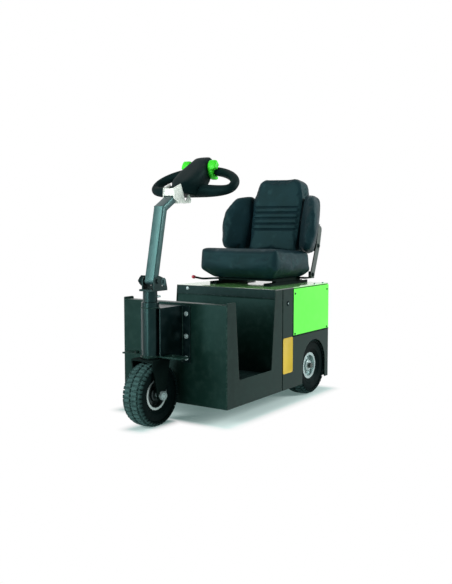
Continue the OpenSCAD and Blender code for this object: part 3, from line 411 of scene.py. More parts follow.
finishes = {}
for make, looks in ((paintFinish, paintLooks), (metalFinish, metalLooks), (mouldedFinish, mouldedLooks),
                    (vinylFinish, {"seatVinyl": vinylLook}), (deckFinish, {"deckPaint": deckLook})):
    for name, look in looks.items():
        finishes[name] = make(name, look).material
# the fork takes the rails' near-black paint as painted shade, so it reads as lying in shadow
nodeFinish = {"front_rim": "rimShade", "seat_rails": "railPaint", "seat_pan": "railPaint",
              "deck_cover": "deckPaint", "head_tube": "tubePaint", "steering_shaft": "tubePaint",
              "steering_bracket": "tubePaint", "fork": "railPaint"}


def finishFor(slot, own=None):  # its own finish, or its slot's: body_paint is finished in bodyPaint
    first, *rest = (own or slot).split("_")
    return finishes[first + "".join(word.capitalize() for word in rest)]


for row in frame["record"]["subparts"]:
    mesh = nodes[row["node"]].data
    mesh.materials.clear()
    mesh.materials.append(finishFor(row["material_slot"], nodeFinish.get(row["node"])))
print("finishes made:", len(finishes))


def ramp(value, start, end):  # smooth 0..1 from start to end, held outside
    share = min(max((value - start) / (end - start), 0.0), 1.0)
    return share * share * (3 - 2 * share)


def ridge(value, middle, width):  # smooth hump, 1 at its middle
    return math.exp(-((value - middle) / width) ** 2)


def turns(count):  # equal angles round a circle
    return [math.tau * i / count for i in range(count)]


def squared(value, power):  # a cosine or sine, pushed out towards a box
    return math.copysign(abs(value) ** (2 / power), value)


def roundedRing(halfWide, halfTall, power, sides):
    angles = [math.tau * (j + 0.5) / sides for j in range(sides)]
    return [(squared(math.cos(a), power) * halfWide, squared(math.sin(a), power) * halfTall) for a in angles]


def bridge(bm, rings, wrap=True, caps=False):  # quads between rings of equal length
    rows = [[bm.verts.new(point) for point in ring] for ring in rings]
    count = len(rows)
    for i in range(count if wrap else count - 1):
        low, high = rows[i], rows[(i + 1) % count]
        for j in range(len(low)):
            k = (j + 1) % len(low)
            bm.faces.new((low[j], low[k], high[k], high[j]))
    if caps:
        bm.faces.new(list(reversed(rows[0])))
        bm.faces.new(rows[-1])


def turned(bm, rows, sides, place=(0, 0, 0), facing=(0, 0, 1)):  # rows of radius and height
    spin = Vector(facing).to_track_quat("Z", "Y").to_matrix()
    bridge(bm, [[Vector(place) + spin @ Vector((r * math.cos(a), r * math.sin(a), h)) for a in turns(sides)]
                for r, h in rows], wrap=False, caps=True)


def softBox(bm, low, high, radius):  # box with rounded edges
    verts = bmesh.ops.create_cube(bm, size=1)["verts"]
    low, high = Vector(low), Vector(high)
    for vert in verts:
        vert.co = Vector([a if share < 0 else b for a, b, share in zip(low, high, vert.co)])
    edges = list({edge for vert in verts for edge in vert.link_edges})
    bmesh.ops.bevel(bm, geom=edges, offset=radius, segments=2, affect="EDGES")


def plainMesh(bm, name):  # mesh with its faces pointing out
    bmesh.ops.recalc_face_normals(bm, faces=bm.faces)
    mesh = bpy.data.meshes.new(name)
    bm.to_mesh(mesh)
    bm.free()
    return mesh


def evaluatedMesh(thing):
    graph = bpy.context.evaluated_depsgraph_get()
    return bpy.data.meshes.new_from_object(thing.evaluated_get(graph))


def meshObject(name, mesh):
    thing = bpy.data.objects.new(name, mesh)
    scene.collection.objects.link(thing)
    return thing


def addPiece(name, source, slot, body, replaced=(), sharp=40, own=None):
    mesh = plainMesh(source, name) if isinstance(source, bmesh.types.BMesh) else source
    mesh.name = name
    mesh.materials.clear()
    mesh.materials.append(finishFor(slot, own))
    mesh.shade_smooth()
    mesh.set_sharp_from_angle(angle=math.radians(sharp))
    piece = meshObject(name, mesh)
    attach(piece, body)
    if replaced:
        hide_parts(*replaced)
    return piece


def newTree(name, inputs):  # a geometry tree that repeats a shape, with named inputs
    tree = bpy.data.node_groups.new(name, "GeometryNodeTree")
    tree.interface.new_socket("Geometry", in_out="INPUT", socket_type="NodeSocketGeometry")
    for label, kind in {"Shape": "Object", "Finish": "Material", **inputs}.items():
        tree.interface.new_socket(label, in_out="INPUT", socket_type="NodeSocket" + kind)
    tree.interface.new_socket("Geometry", in_out="OUTPUT", socket_type="NodeSocketGeometry")
    graph = Graph(tree)
    return graph, graph.add("NodeGroupInput")


def closeTree(graph, given, points, facing, size=(1, 1, 1)):  # the shape on each point, realized and finished
    shape = graph.add("GeometryNodeObjectInfo", {}, {"Object": given.also("Shape")}, "Geometry")
    made = graph.add("GeometryNodeInstanceOnPoints", {}, {
        "Points": points, "Instance": shape, "Rotation": facing, "Scale": size})
    real = graph.add("GeometryNodeRealizeInstances", {}, {"Geometry": made})
    done = graph.add("GeometryNodeSetMaterial", {}, {"Geometry": real, "Material": given.also("Finish")})
    graph.add("NodeGroupOutput", {}, {"Geometry": done})
    return graph.tree


def runTree(tree, mesh, shape, finish, **sizes):  # plain mesh made by the tree from a mesh and a shape
    thing, source = meshObject("treeRun", mesh), meshObject("repeatedShape", shape)
    values = {"Shape": source, "Finish": finish, **sizes}
    modifier = thing.modifiers.new("tree", "NODES")
    modifier.node_group = tree
    for item in tree.interface.items_tree:
        if item.in_out == "INPUT" and item.name in values:
            modifier[item.identifier] = values[item.name]
    result = evaluatedMesh(thing)
    thing.modifiers.remove(modifier)
    for used in (thing, source):
        bpy.data.objects.remove(used)
    return result


tyreLook = {
    "profile": [  # across as a share of the half width, out as a share of bead to carcass top
        (0.47, 0.0), (0.62, 0.01), (0.69, 0.07), (0.73, 0.15), (0.85, 0.26), (0.92, 0.34), (0.955, 0.36),
        (0.962, 0.385), (0.95, 0.41), (0.985, 0.5), (1.0, 0.58), (0.995, 0.7), (0.965, 0.82), (0.91, 0.91),
        (0.8, 0.955), (0.6, 0.98), (0.3, 0.995), (0.0, 1.0)],
    "front": (0.130, 0.085), "rear": (0.136, 0.090),  # radius and width
    "steps": 120, "bead": 0.0545, "tread": 0.0062, "dusty": (-0.012, 0.002),
    "lugs": 41, "rowStep": 0.0352 / 0.085,  # blocks in a row, and the step as a share of the width
    "lug": (0.0146, 0.0298, 0.0095), "taper": 0.88, "chamfer": 0.0011, "sink": 0.0032,
    "rows": 4, "drop": (0.9, 1.18), "roll": (5, 12), "close": 0.178, "narrow": 0.8,  # how the rows follow the crown
}


def lugBlock(look):  # tapered block with chamfered edges, its foot at the origin
    bm = bmesh.new()
    bmesh.ops.create_cube(bm, size=1)
    wide, deep, tall = look["lug"]
    for vert in bm.verts:
        taper = look["taper"] if vert.co.z > 0 else 1.0
        vert.co = Vector((vert.co.x * wide * taper, vert.co.y * deep * taper, (vert.co.z + 0.5) * tall))
    top = [edge for edge in bm.edges if edge.verts[0].co.z + edge.verts[1].co.z > tall * 0.9]
    bmesh.ops.bevel(bm, geom=top, offset=look["chamfer"], segments=2, affect="EDGES")
    return plainMesh(bm, "lugBlock")


def treadTree(look):  # staggered rows of blocks round a wheel, the outer two rolled over the shoulder
    graph, given = newTree("treadRows", {"Count": "Int", "Radius": "Float", "RowStep": "Float"})
    count, middle = given.also("Count"), (look["rows"] - 1) / 2
    index = graph.add("GeometryNodeInputIndex")
    row = graph.math("FLOOR", index / count) - middle
    side = graph.math("ABSOLUTE", row)
    turn = (index % count + ((row + middle) % 2) * 0.5) / count * math.tau
    reach = given.also("Radius") - (row * row * look["drop"][0] + row * row * row * row * look["drop"][1]) * mm
    across = given.also("RowStep") * row * (1 - side * look["close"])
    roll = (row * look["roll"][0] + row * row * row * look["roll"][1]) * math.radians(-1)
    points = graph.add("GeometryNodePoints", {}, {
        "Count": count * look["rows"],
        "Position": graph.vector(reach * graph.math("SINE", turn), across, reach * graph.math("COSINE", turn))})
    facing = graph.add("FunctionNodeEulerToRotation", {}, {0: graph.vector(roll, turn, 0.0)})
    size = graph.vector(1.0, 1 - graph.math("MAXIMUM", side - 1, 0.0) * look["narrow"], 1.0)
    return closeTree(graph, given, points, facing, size)


def makeTyre(look, radius, width, tree):
    bead, top = look["bead"], radius - look["tread"]
    half = [(across * width / 2, bead + out * (top - bead)) for across, out in look["profile"]]
    profile = half + [(-across, out) for across, out in reversed(half[:-1])]
    bm = bmesh.new()
    bridge(bm, [[Vector((out * math.sin(turn), across, out * math.cos(turn))) for across, out in profile]
                for turn in turns(look["steps"])])
    bm.from_mesh(runTree(tree, bpy.data.meshes.new("treadStart"), lugBlock(look), finishes["tyreRubber"],
                         Count=look["lugs"], Radius=top - look["sink"], RowStep=look["rowStep"] * width))
    mesh = plainMesh(bm, "tyre")
    tread = mesh.attributes.new("tread", "FLOAT", "POINT")
    low, high = look["dusty"]
    for vert, value in zip(mesh.vertices, tread.data):
        value.value = ramp(math.hypot(vert.co.x, vert.co.z), top + low, top + high)
    return mesh


treadRows = treadTree(tyreLook)
for name, node, body, size in (("frontTyreTread", "front_tyre", "front_wheel", "front"),
                               ("rearLeftTyreTread", "rear_left_tyre", "rear_left_wheel", "rear"),
                               ("rearRightTyreTread", "rear_right_tyre", "rear_right_wheel", "rear")):
    mesh = makeTyre(tyreLook, *tyreLook[size], treadRows)
    low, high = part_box(node)
    mesh.transform(Matrix.Translation((low + high) / 2))
    addPiece(name, mesh, "tyre_rubber", body, (node,), 32)
print("tyres made")


loopLook = {"centre": (0.1695, 0.0, 0.9946), "tilt": 42, "halfLength": 0.066, "halfWidth": 0.202, "power": 2.4,
            "sweep": 0.034, "tube": 0.019, "bar": 0.009, "fine": 900, "steps": 176, "sides": 28}
loopTilt = math.radians(loopLook["tilt"])
loopAlong = Vector((math.cos(loopTilt), 0, -math.sin(loopTilt)))
loopUp = Vector((math.sin(loopTilt), 0, math.cos(loopTilt)))


def gripPoint(look, angle):  # middle line of the loop and the radius there
    across = squared(math.sin(angle), look["power"])
    along = squared(math.cos(angle), look["power"]) * look["halfLength"] + look["sweep"] * across * across
    offset = Vector((along * math.cos(loopTilt), across * look["halfWidth"], -along * math.sin(loopTilt)))
    place = Vector(look["centre"]) + offset
    return Vector((*place, look["tube"] + look["bar"] * max(math.cos(angle), 0) ** 3))


def evenPath(points, count):  # closed path cut into equal steps
    lengths = [0.0]
    for i, point in enumerate(points):
        lengths.append(lengths[-1] + (points[(i + 1) % len(points)] - point).length)
    result, i = [], 0
    for step in range(count):
        target = lengths[-1] * step / count
        while lengths[i + 1] < target:
            i += 1
        share = (target - lengths[i]) / (lengths[i + 1] - lengths[i])
        result.append(points[i].lerp(points[(i + 1) % len(points)], share))
    return result


def makeLoop(look):
    path = evenPath([gripPoint(look, turn) for turn in turns(look["fine"])], look["steps"])
    rings = []
    for i, row in enumerate(path):
        ahead = (path[(i + 1) % len(path)] - path[i - 1]).to_3d().normalized()
        side = ahead.cross(loopUp).normalized()
        rings.append([row.to_3d() + side * math.cos(a) * row.w + loopUp * math.sin(a) * row.w
                      for a in turns(look["sides"])])
    bm = bmesh.new()
    bridge(bm, rings)
    return bm


addPiece("gripLoop", makeLoop(loopLook), "black_plastic", "column", ("loop_handle",))


podLook = {
    "x": 0.3488, "z": 0.9189, "rise": 32, "power": 4.2, "sides": 56, "steps": 72, "edge": 0.004,
    "spread": (-9, -4.5, 0, 4.5, 9),  # the places that each ring averages, in mm
    "rows": [  # along, bottom, top, half width, in mm
        (3, -14, 30, 24.6), (30, -14.4, 31.6, 24.8), (58, -15, 32.8, 27), (74, -30, 33.6, 43),
        (96, -52, 34.4, 54), (122, -62, 35.2, 60), (160, -59, 36.6, 62), (205, -54, 38.4, 56),
        (236, -47, 39.6, 46), (268, -29, 38.4, 45), (281, -14, 35, 41), (288, -4, 29, 34)],
}


def podPoint(look, along, up, across):
    rise = math.radians(look["rise"])
    return Vector((look["x"] - along * math.cos(rise) + up * math.sin(rise), across,
                   look["z"] + along * math.sin(rise) + up * math.cos(rise)))


def between(rows, place):  # row between the rows on either side
    for low, high in zip(rows, rows[1:]):
        if place <= high[0]:
            share = (place - low[0]) / (high[0] - low[0])
            return [a + (b - a) * share for a, b in zip(low, high)]
    return list(rows[-1])


def makePod(look):
    first, last = look["rows"][0][0], look["rows"][-1][0]
    rings = []
    for i in range(look["steps"] + 1):
        place = first + (last - first) * i / look["steps"]
        spread = [between(look["rows"], min(max(place + step, first), last)) for step in look["spread"]]
        low, high, wide = [sum(values) / len(spread) for values in zip(*spread)][1:]
        rings.append([podPoint(look, place * mm, ((low + high) / 2 + up) * mm, across * mm)
                      for across, up in roundedRing(wide, (high - low) / 2, look["power"], look["sides"])])
    bm = bmesh.new()
    bridge(bm, rings, wrap=False, caps=True)
    ends = [edge for edge in bm.edges if max(len(face.verts) for face in edge.link_faces) > 4]
    bmesh.ops.bevel(bm, geom=ends, offset=look["edge"], segments=3, affect="EDGES")
    return bm


columnLook = {  # in mm, with x and z of each place
    "pivot": (485.5, 585), "bend": (424.17, 873.55), "tip": (348.74, 918.87), "deep": 30, "wide": 50, "corner": 6,
    "steps": 5, "clamp": (448.5, 581), "tongue": (8, 16.7), "bolt": (5, 33), "head": (8, 6), "washer": (16, 0.8)}


def tubeRing(look):  # rounded box section: out from the middle line, and across
    ring, corner = [], look["corner"]
    for n, y, start in ((1, 1, 0), (-1, 1, 90), (-1, -1, 180), (1, -1, 270)):
        for i in range(look["steps"] + 1):
            angle = math.radians(start + 90 * i / look["steps"])
            ring.append((n * (look["deep"] / 2 - corner) + corner * math.cos(angle),
                         y * (look["wide"] / 2 - corner) + corner * math.sin(angle)))
    return ring


def midPlace(row):
    return Vector((row[0], 0, row[1]))


def columnRings(look):
    pivot, bend, tip = (midPlace(look[key]) for key in ("pivot", "bend", "tip"))
    outs = [Vector((way.z, 0, -way.x)).normalized() for way in (bend - pivot, tip - bend)]
    mitre = (outs[0] + outs[1]).normalized() / math.cos(outs[0].angle(outs[1]) / 2)
    return [[(place + out * n + Vector((0, y, 0))) * mm for n, y in tubeRing(look)]
            for place, out in ((pivot, outs[0]), (bend, mitre), (tip, outs[1]))]


def makeColumn(look):
    bm = bmesh.new()
    bridge(bm, columnRings(look), wrap=False, caps=True)
    pivot, clamp = (midPlace(look[key]) * mm for key in ("pivot", "clamp"))
    half, edge, radius = look["wide"] / 2 * mm, look["corner"] / 3 * mm, look["deep"] / 2 * mm
    turned(bm, [(radius - edge, 0), (radius, edge), (radius, 2 * half - edge), (radius - edge, 2 * half)], 40,
           pivot - Vector((0, half, 0)), (0, 1, 0))
    size, thick = (value * mm for value in look["tongue"])
    way = (clamp - pivot).normalized()
    side = Vector((way.z, 0, -way.x)) * size
    outline = [pivot + side, pivot - side, clamp - side]
    outline += [clamp - side * math.cos(a) + way * size * math.sin(a) for a in turns(20)[1:10]]
    outline += [clamp + side]
    bridge(bm, [[point + Vector((0, y * thick / 2, 0)) for point in outline] for y in (-1, 1)], wrap=False, caps=True)
    (bolt, reach), (head, tall), (washer, thin) = (
        [value * mm for value in look[key]] for key in ("bolt", "head", "washer"))
    turned(bm, [(bolt, 0), (bolt, 2 * reach)], 20, clamp - Vector((0, reach, 0)), (0, 1, 0))
    for y in (1, -1):
        turned(bm, [(washer, 0), (washer, thin)], 32, clamp + Vector((0, y * (reach - thin), 0)), (0, y, 0))
        turned(bm, [(head, 0), (head, tall * 0.8), (head * 0.85, tall)], 6, clamp + Vector((0, y * reach, 0)),
               (0, y, 0))
    return bm


addPiece("columnTube", makeColumn(columnLook), "column_paint", "column", ("column_post",), 35)
addPiece("controlPod", makePod(podLook), "black_plastic", "column", ("tiller_pod",), 50)


throttleLook = {"inner": 22, "collar": 26, "outer": 57, "collarWide": 12, "paddleWide": 24, "padWide": 44,
                "from": -112, "sweep": 186, "padSweep": 70, "ease": 16, "taper": 0.75, "start": 46, "shift": 1.8,
                "onLoop": 0.988, "power": 4, "steps": 120, "sides": 20}


def makeThrottle(look, side):
    inner, collar, start, ease = (look[key] for key in ("inner", "collar", "start", "ease"))
    root = Vector(loopLook["centre"])
    root += loopAlong * (look["shift"] * mm - loopLook["halfLength"] * look["onLoop"])
    rings = []
    for angle in turns(look["steps"]):
        place = (math.degrees(angle) - look["from"]) % 360
        paddle, pad = (ramp(place, 0, ease) * ramp(place, look[end], look[end] - ease) for end in ("sweep", "padSweep"))
        outer = collar + (look["outer"] - collar) * paddle * (1 - look["taper"] * place / look["sweep"])
        wide = look["collarWide"] + (look["paddleWide"] - look["collarWide"]) * paddle
        wide += (look["padWide"] - look["paddleWide"]) * pad
        out = loopAlong * math.cos(angle) - loopUp * math.sin(angle)
        rings.append([root + out * ((inner + outer) / 2 + up) * mm
                      + Vector((0, side * (start + wide / 2 + across) * mm, 0))
                      for across, up in roundedRing(wide / 2, (outer - inner) / 2, look["power"], look["sides"])])
    bm = bmesh.new()
    bridge(bm, rings)
    return bm


for name, node, side in (("thumbThrottleLeft", "throttle_left", 1), ("thumbThrottleRight", "throttle_right", -1)):
    addPiece(name, makeThrottle(throttleLook, side), "lime_plastic", "column", (node,), 50)
print("tiller head made")


seatBack = {"foot": (-0.4495, 0.0, 0.676), "lean": 13, "channels": (110, 139, 168, 196, 224),
            "panel": (98, 236), "half": 0.132}  # lines in mm above the foot
backLean = math.radians(seatBack["lean"])
backForward = Vector((math.cos(backLean), 0, math.sin(backLean)))
backUp = Vector((-math.sin(backLean), 0, math.cos(backLean)))
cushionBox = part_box("seat_cushion")


def backPlace(point):  # forward, across and up in the frame of the backrest
    offset = point - Vector(seatBack["foot"])
    return offset.dot(backForward), offset.y, offset.dot(backUp)


sideShape = {"way": (0.56, 0.83), "push": 0.013, "corner": (0.16, 0.215), "top": (0.33, 0.2), "base": (-0.005, 0.045),
             "even": 0.85, "swell": 0.6, "middle": (0.12, 0.06),  # ramps run from start to end
             "tuck": 1.2, "rear": (0.02, -0.04), "foot": (0.17, 0.0), "outside": (0.17, 0.21)}


def shapeSide(mesh, shape):  # fuller front corner on a side pad, and a slimmer foot
    ahead, sideways = shape["way"]
    for vert in mesh.vertices:
        forward, across, up = backPlace(vert.co)
        share = ramp(forward * ahead + abs(across) * sideways, *shape["corner"]) * ramp(up, *shape["top"])
        share *= ramp(up, *shape["base"]) * (shape["even"] + shape["swell"] * ridge(up, *shape["middle"]))
        tuck = ramp(forward, *shape["rear"]) * ramp(up, *shape["foot"]) * ramp(abs(across), *shape["outside"])
        way = Vector((ahead * math.cos(backLean), math.copysign(sideways, across), ahead * math.sin(backLean)))
        vert.co += way * shape["push"] * share
        vert.co += backForward * shape["tuck"] * shape["push"] * tuck


cushionShape = {"grow": (1.022, 1.016), "rear": (0.07, 0.0), "low": (0.06, 0.02), "sides": (0.1, 0.16),
                "back": 0.012, "widen": 0.07, "down": 0.006}


def shapeCushion(mesh, shape):  # fuller cushion, with a lower rear edge
    low, high = cushionBox
    middle = (low.x + high.x) / 2
    for vert in mesh.vertices:
        x, y, z = vert.co
        rear = ramp(x - low.x, *shape["rear"]) * ramp(z - low.z, *shape["low"])
        vert.co.x = middle + (x - middle) * shape["grow"][0] - shape["back"] * rear
        vert.co.y *= shape["grow"][1] + shape["widen"] * rear * ramp(abs(y), *shape["sides"])
        vert.co.z -= shape["down"] * rear


backShape = {"drop": 0.012, "foot": (0.05, 0.0), "raise": 0.3, "widen": 0.7, "top": (0.28, 0.35),
             "sides": (0.04, 0.09)}  # corners raised and widened by shares of the drop


def shapeBack(mesh, shape):  # backrest reaches down to the cushion, with fuller top corners
    for vert in mesh.vertices:
        across, up = backPlace(vert.co)[1:]
        corner = ramp(up, *shape["top"]) * ramp(abs(across), *shape["sides"])
        vert.co -= backUp * shape["drop"] * (ramp(up, *shape["foot"]) - shape["raise"] * corner)
        vert.co.y += math.copysign(shape["widen"] * shape["drop"] * corner, across)


seamLook = {"cushion": (0.052, 0.0045), "cushionDeep": 0.0035, "topFacing": 0.3, "front": -0.03, "fade": 0.016,
            "channelWide": 0.0042, "channelDeep": 0.0055, "panelRise": 0.0022, "panelFade": 0.012,
            "side": (-0.012, 0.0035), "sideDeep": 0.0022, "underSeat": 0.012, "behind": -0.07}


def cushionSeams(point, normal):  # one seam round the edge of the top panel
    low, high = cushionBox
    inset = min(high.x - point.x, point.x - low.x, high.y - abs(point.y))
    return -seamLook["cushionDeep"] * ridge(inset, *seamLook["cushion"]) if normal.z >= seamLook["topFacing"] else 0.0


def backSeams(point, normal):  # sewn channels across the front of the backrest
    forward, across, up = backPlace(point)
    if forward < seamLook["front"]:
        return 0.0
    first, last = (line * mm for line in seatBack["panel"])
    depth = sum(ridge(up, line * mm, seamLook["channelWide"]) for line in seatBack["channels"])
    inside = ramp(up, first, first + seamLook["panelFade"]) * ramp(up, last, last - seamLook["panelFade"])
    rise = seamLook["panelRise"] * inside * (1 - min(depth, 1)) - seamLook["channelDeep"] * depth
    return rise * ramp(abs(across), seatBack["half"], seatBack["half"] - seamLook["fade"])


def sideSeams(point, normal):  # seam round the outside of a side pad
    return -seamLook["sideDeep"] * ridge(backPlace(point)[0], *seamLook["side"])


def underSeat(point):
    return point.z < cushionBox[0].z + seamLook["underSeat"]


def behindBack(point):
    return backPlace(point)[0] < seamLook["behind"]


sidePad = {"make": shapeSide, "shape": sideShape, "held": behindBack, "seams": sideSeams, "voxel": 0.005,
           "start": 8, "shrink": 0.001, "cap": 0.008, "smooth": 6, "fill": 0.85}
padLooks = {
    "seatPad": {"node": "seat_cushion", "make": shapeCushion, "shape": cushionShape, "held": underSeat,
                "seams": cushionSeams, "voxel": 0.006, "start": 5, "shrink": 0.002, "cap": 0.0075, "smooth": 4,
                "fill": 0.85},
    "backPad": {"node": "backrest", "make": shapeBack, "shape": backShape, "held": behindBack, "seams": backSeams,
                "voxel": 0.005, "start": 6, "shrink": 0.003, "cap": 0.007, "smooth": 4, "fill": 0.8},
    "sidePadLeft": {"node": "bolster_left", **sidePad},
    "sidePadRight": {"node": "bolster_right", **sidePad},
}
clothLook = {"uniform_pressure_force": 4, "tension_stiffness": 4, "compression_stiffness": 4, "shear_stiffness": 2,
             "bending_stiffness": 8, "use_pressure": True, "vertex_group_mass": "held"}
clothSteps = 20


def swapMesh(thing, kind, settings):  # applies one modifier
    modifier = thing.modifiers.new("step", kind)
    for key, value in settings.items():
        setattr(modifier, key, value)
    mesh = evaluatedMesh(thing)
    thing.modifiers.remove(modifier)
    thing.data = mesh


def inflate(thing, look):  # cloth pressure, with each point's way capped
    group = thing.vertex_groups.new(name="held")
    for vert in thing.data.vertices:
        if look["held"](vert.co):
            group.add([vert.index], 1.0, "REPLACE")
    start = [vert.co.copy() for vert in thing.data.vertices]
    modifier = thing.modifiers.new("pad", "CLOTH")
    for key, value in clothLook.items():
        setattr(modifier.settings, key, value)
    modifier.settings.effector_weights.gravity = 0
    modifier.point_cache.frame_start, modifier.point_cache.frame_end = 1, clothSteps
    for step in range(1, clothSteps + 1):
        scene.frame_set(step)
    mesh = evaluatedMesh(thing)
    thing.modifiers.remove(modifier)
    scene.frame_set(1)
    for vert, old in zip(mesh.vertices, start):
        way = vert.co - old
        if way.length > look["cap"]:
            vert.co = old + way.normalized() * look["cap"]
    thing.data = mesh
    thing.vertex_groups.clear()


def shift(mesh, amount):  # moves each point along its normal
    normals = [vert.normal.copy() for vert in mesh.vertices]
    for vert, normal in zip(mesh.vertices, normals):
        vert.co += normal * amount(vert.co, normal)


def makePad(name, look):
    bm = bmesh.new()
    bm.from_mesh(nodes[look["node"]].data)
    bmesh.ops.remove_doubles(bm, verts=bm.verts, dist=0.00002)
    thing = meshObject(name, plainMesh(bm, name))
    swapMesh(thing, "REMESH", {"mode": "VOXEL", "voxel_size": look["voxel"]})
    swapMesh(thing, "SMOOTH", {"factor": 0.5, "iterations": look["start"]})
    look["make"](thing.data, look["shape"])
    shift(thing.data, lambda point, normal: -look["shrink"])
    inflate(thing, look)
    swapMesh(thing, "SMOOTH", {"factor": 0.5, "iterations": look["smooth"]})
    swapMesh(thing, "SUBSURF", {"levels": 1, "render_levels": 1})
    mesh = thing.data
    shift(mesh, look["seams"])
    bpy.data.objects.remove(thing)
    piece = addPiece(name, mesh, "seat_vinyl", "seat", (look["node"],), 180)


for name, look in padLooks.items():
    makePad(name, look)
print("seat pads made")


def pathTree():  # one shape repeated along lines
    graph, given = newTree("alongPath", {"Step": "Float"})
    line = graph.add("GeometryNodeMeshToCurve", {}, {"Mesh": given.also("Geometry")})
    line = graph.add("GeometryNodeResampleCurve", {"mode": "LENGTH"}, {"Curve": line, "Length": given.also("Step")})
    tangent = graph.add("GeometryNodeInputTangent")
    facing = graph.add("FunctionNodeAlignRotationToVector", {"axis": "X"}, {"Vector": tangent})
    return closeTree(graph, given, line, facing)


def bead(size):  # small pillow, as long, wide and high as its size
    bm = bmesh.new()
    bmesh.ops.create_uvsphere(bm, u_segments=8, v_segments=5, radius=0.5)
    for vert in bm.verts:
        vert.co = Vector([a * b for a, b in zip(vert.co, size)])
    return plainMesh(bm, "bead")


def addBeads(name, lines, look, slot, body, own=None):  # beads along open or closed lines
    points, edges = [], []
    for line in lines:
        edges += [(len(points) + i, len(points) + i + 1) for i in range(len(line) - 1)]
        points += line
    mesh = bpy.data.meshes.new("lines")
    mesh.from_pydata(points, edges, [])
    beads = runTree(beadRows, mesh, bead(look["size"]), finishFor(slot, own), Step=look["step"])
    addPiece(name, beads, slot, body, sharp=180, own=own)


def ringLine(x, z, radius):
    return [(x + radius * math.cos(a), radius * math.sin(a), z) for a in turns(48) + [math.tau]]


beadRows = pathTree()
mitreWeldLook = {"size": (0.003, 0.0026, 0.0026), "step": 0.0019}
mitre = [point.to_tuple() for point in columnRings(columnLook)[1]]
addBeads("columnWeld", [mitre + mitre[:1]], mitreWeldLook, "column_paint", "column")
weldLook = {"size": (0.0044, 0.0052, 0.0046), "step": 0.0026, "x": 0.4945,
            "rings": ((0.4796, 0.0355), (0.2866, 0.0355)), "side": (0.3505, 0.0515, 0.246, 0.472)}
weldLines = [ringLine(weldLook["x"], z, radius) for z, radius in weldLook["rings"]]
for side in (1, -1):
    x, y, low, high = weldLook["side"]
    weldLines.append([(x, side * y, low), (x, side * y, high)])
addBeads("bracketWelds", weldLines, weldLook, "body_paint", "chassis")
print("welds made")


stitchLook = {"size": (0.0052, 0.0012, 0.0012), "step": 0.0072, "edge": 0.045, "channel": 0.116, "lift": 0.0003}


def onSurface(piece, points, direction, lift):  # points dropped on a piece along a direction
    mesh = bpy.data.objects[piece].data
    tree = BVHTree.FromPolygons([vert.co for vert in mesh.vertices], [face.vertices for face in mesh.polygons])
    hits = [tree.ray_cast(Vector(point), Vector(direction)) for point in points]
    return [tuple(hit[0] + hit[1] * lift) for hit in hits if hit[0] is not None]


def seatLines(look):
    lines = []
    for line in seatBack["channels"]:
        start = Vector(seatBack["foot"]) + backUp * line * mm + backForward * 0.15
        points = [start + Vector((0, look["channel"] * (i / 20 - 1), 0)) for i in range(41)]
        lines.append(onSurface("backPad", points, -backForward, look["lift"]))
    low, high = cushionBox
    middle, half = (low + high) / 2, (high - low) / 2
    ring = roundedRing(half.x - look["edge"], half.y - look["edge"], 8, 240)
    points = [(middle.x + x, y, high.z + 0.1) for x, y in ring]
    lines.append(onSurface("seatPad", points + points[:1], (0, 0, -1), look["lift"]))
    return lines


addBeads("seatStitches", seatLines(stitchLook), stitchLook, None, "seat", "seatThread")
print("stitches made")


def hexBolt():  # head on a washer, one unit from middle to corner
    bm = bmesh.new()
    turned(bm, [(1.5, 0), (1.5, 0.16), (1.42, 0.24), (0.9, 0.24)], 20)
    turned(bm, [(0.92, 0.1), (1, 0.2), (1, 0.78), (0.84, 0.92)], 6)
    return bm


def socketScrew():  # domed head with a socket
    bm = bmesh.new()
    turned(bm, [(1, 0), (1, 0.2), (0.9, 0.42), (0.66, 0.58), (0.46, 0.62), (0.44, 0.3)], 16)
    return bm


def fastenerTree():  # one shape on points that carry their facing and size
    graph, given = newTree("fasteners", {})
    facing = graph.add("GeometryNodeInputNamedAttribute", {"data_type": "FLOAT_VECTOR"}, {"Name": "facing"})
    size = graph.add("GeometryNodeInputNamedAttribute", {"data_type": "FLOAT"}, {"Name": "size"})
    turn = graph.add("FunctionNodeAlignRotationToVector", {"axis": "Z"}, {"Vector": facing})
    return closeTree(graph, given, given.also("Geometry"), turn, graph.vector(size, size, size))


fastenerSets = {  # places in mm, the way each faces, and the size of the head
    "bracketBolts": {"shape": hexBolt, "slot": "rim_silver", "body": "chassis", "size": 7,
                     "rows": [((349.5, side * 70, z), (1, 0, 0)) for side in (1, -1) for z in (445, 352, 261)]},
    "coverScrews": {"shape": socketScrew, "slot": "black_metal", "body": "chassis", "size": 5,
                    "rows": [((x, side * 270, z), (0, side, 0)) for side in (1, -1)
                             for x in (-210, -529) for z in (312, 496)]},
    "deckBolts": {"shape": socketScrew, "slot": "rim_silver", "body": "chassis", "size": 6,
                  "rows": [((x, side * 252, 526), (0, 0, 1)) for side in (1, -1) for x in (-436, -520)]},
    "bandBolts": {"shape": hexBolt, "slot": "rim_silver", "body": "chassis", "size": 5,
                  "rows": [((-31, -206, 512), (1, 0, 0))]},
    "rearBolts": {"shape": hexBolt, "slot": "rim_silver", "body": "chassis", "size": 6,
                  "rows": [((-546.5, side * y, z), (-1, 0, 0)) for side in (1, -1)
                           for y, z in ((245, 500), (245, 330), (245, 150), (62, 240), (62, 170))]},
    "strapBolts": {"shape": hexBolt, "slot": "black_metal", "body": "seat", "size": 8,
                   "rows": [((x, side * 212, z), (0, side, 0)) for side in (1, -1)
                            for x, z in ((-489.5, 566), (-544.4, 704.9))]},
    "boardBolts": {"shape": socketScrew, "slot": "rim_silver", "body": "seat", "size": 6,
                   "rows": [((x, side * 120, z), (-0.974, 0, -0.225)) for side in (1, -1)
                            for x, z in ((-549.3, 699.7), (-568.7, 783.6))]},
}


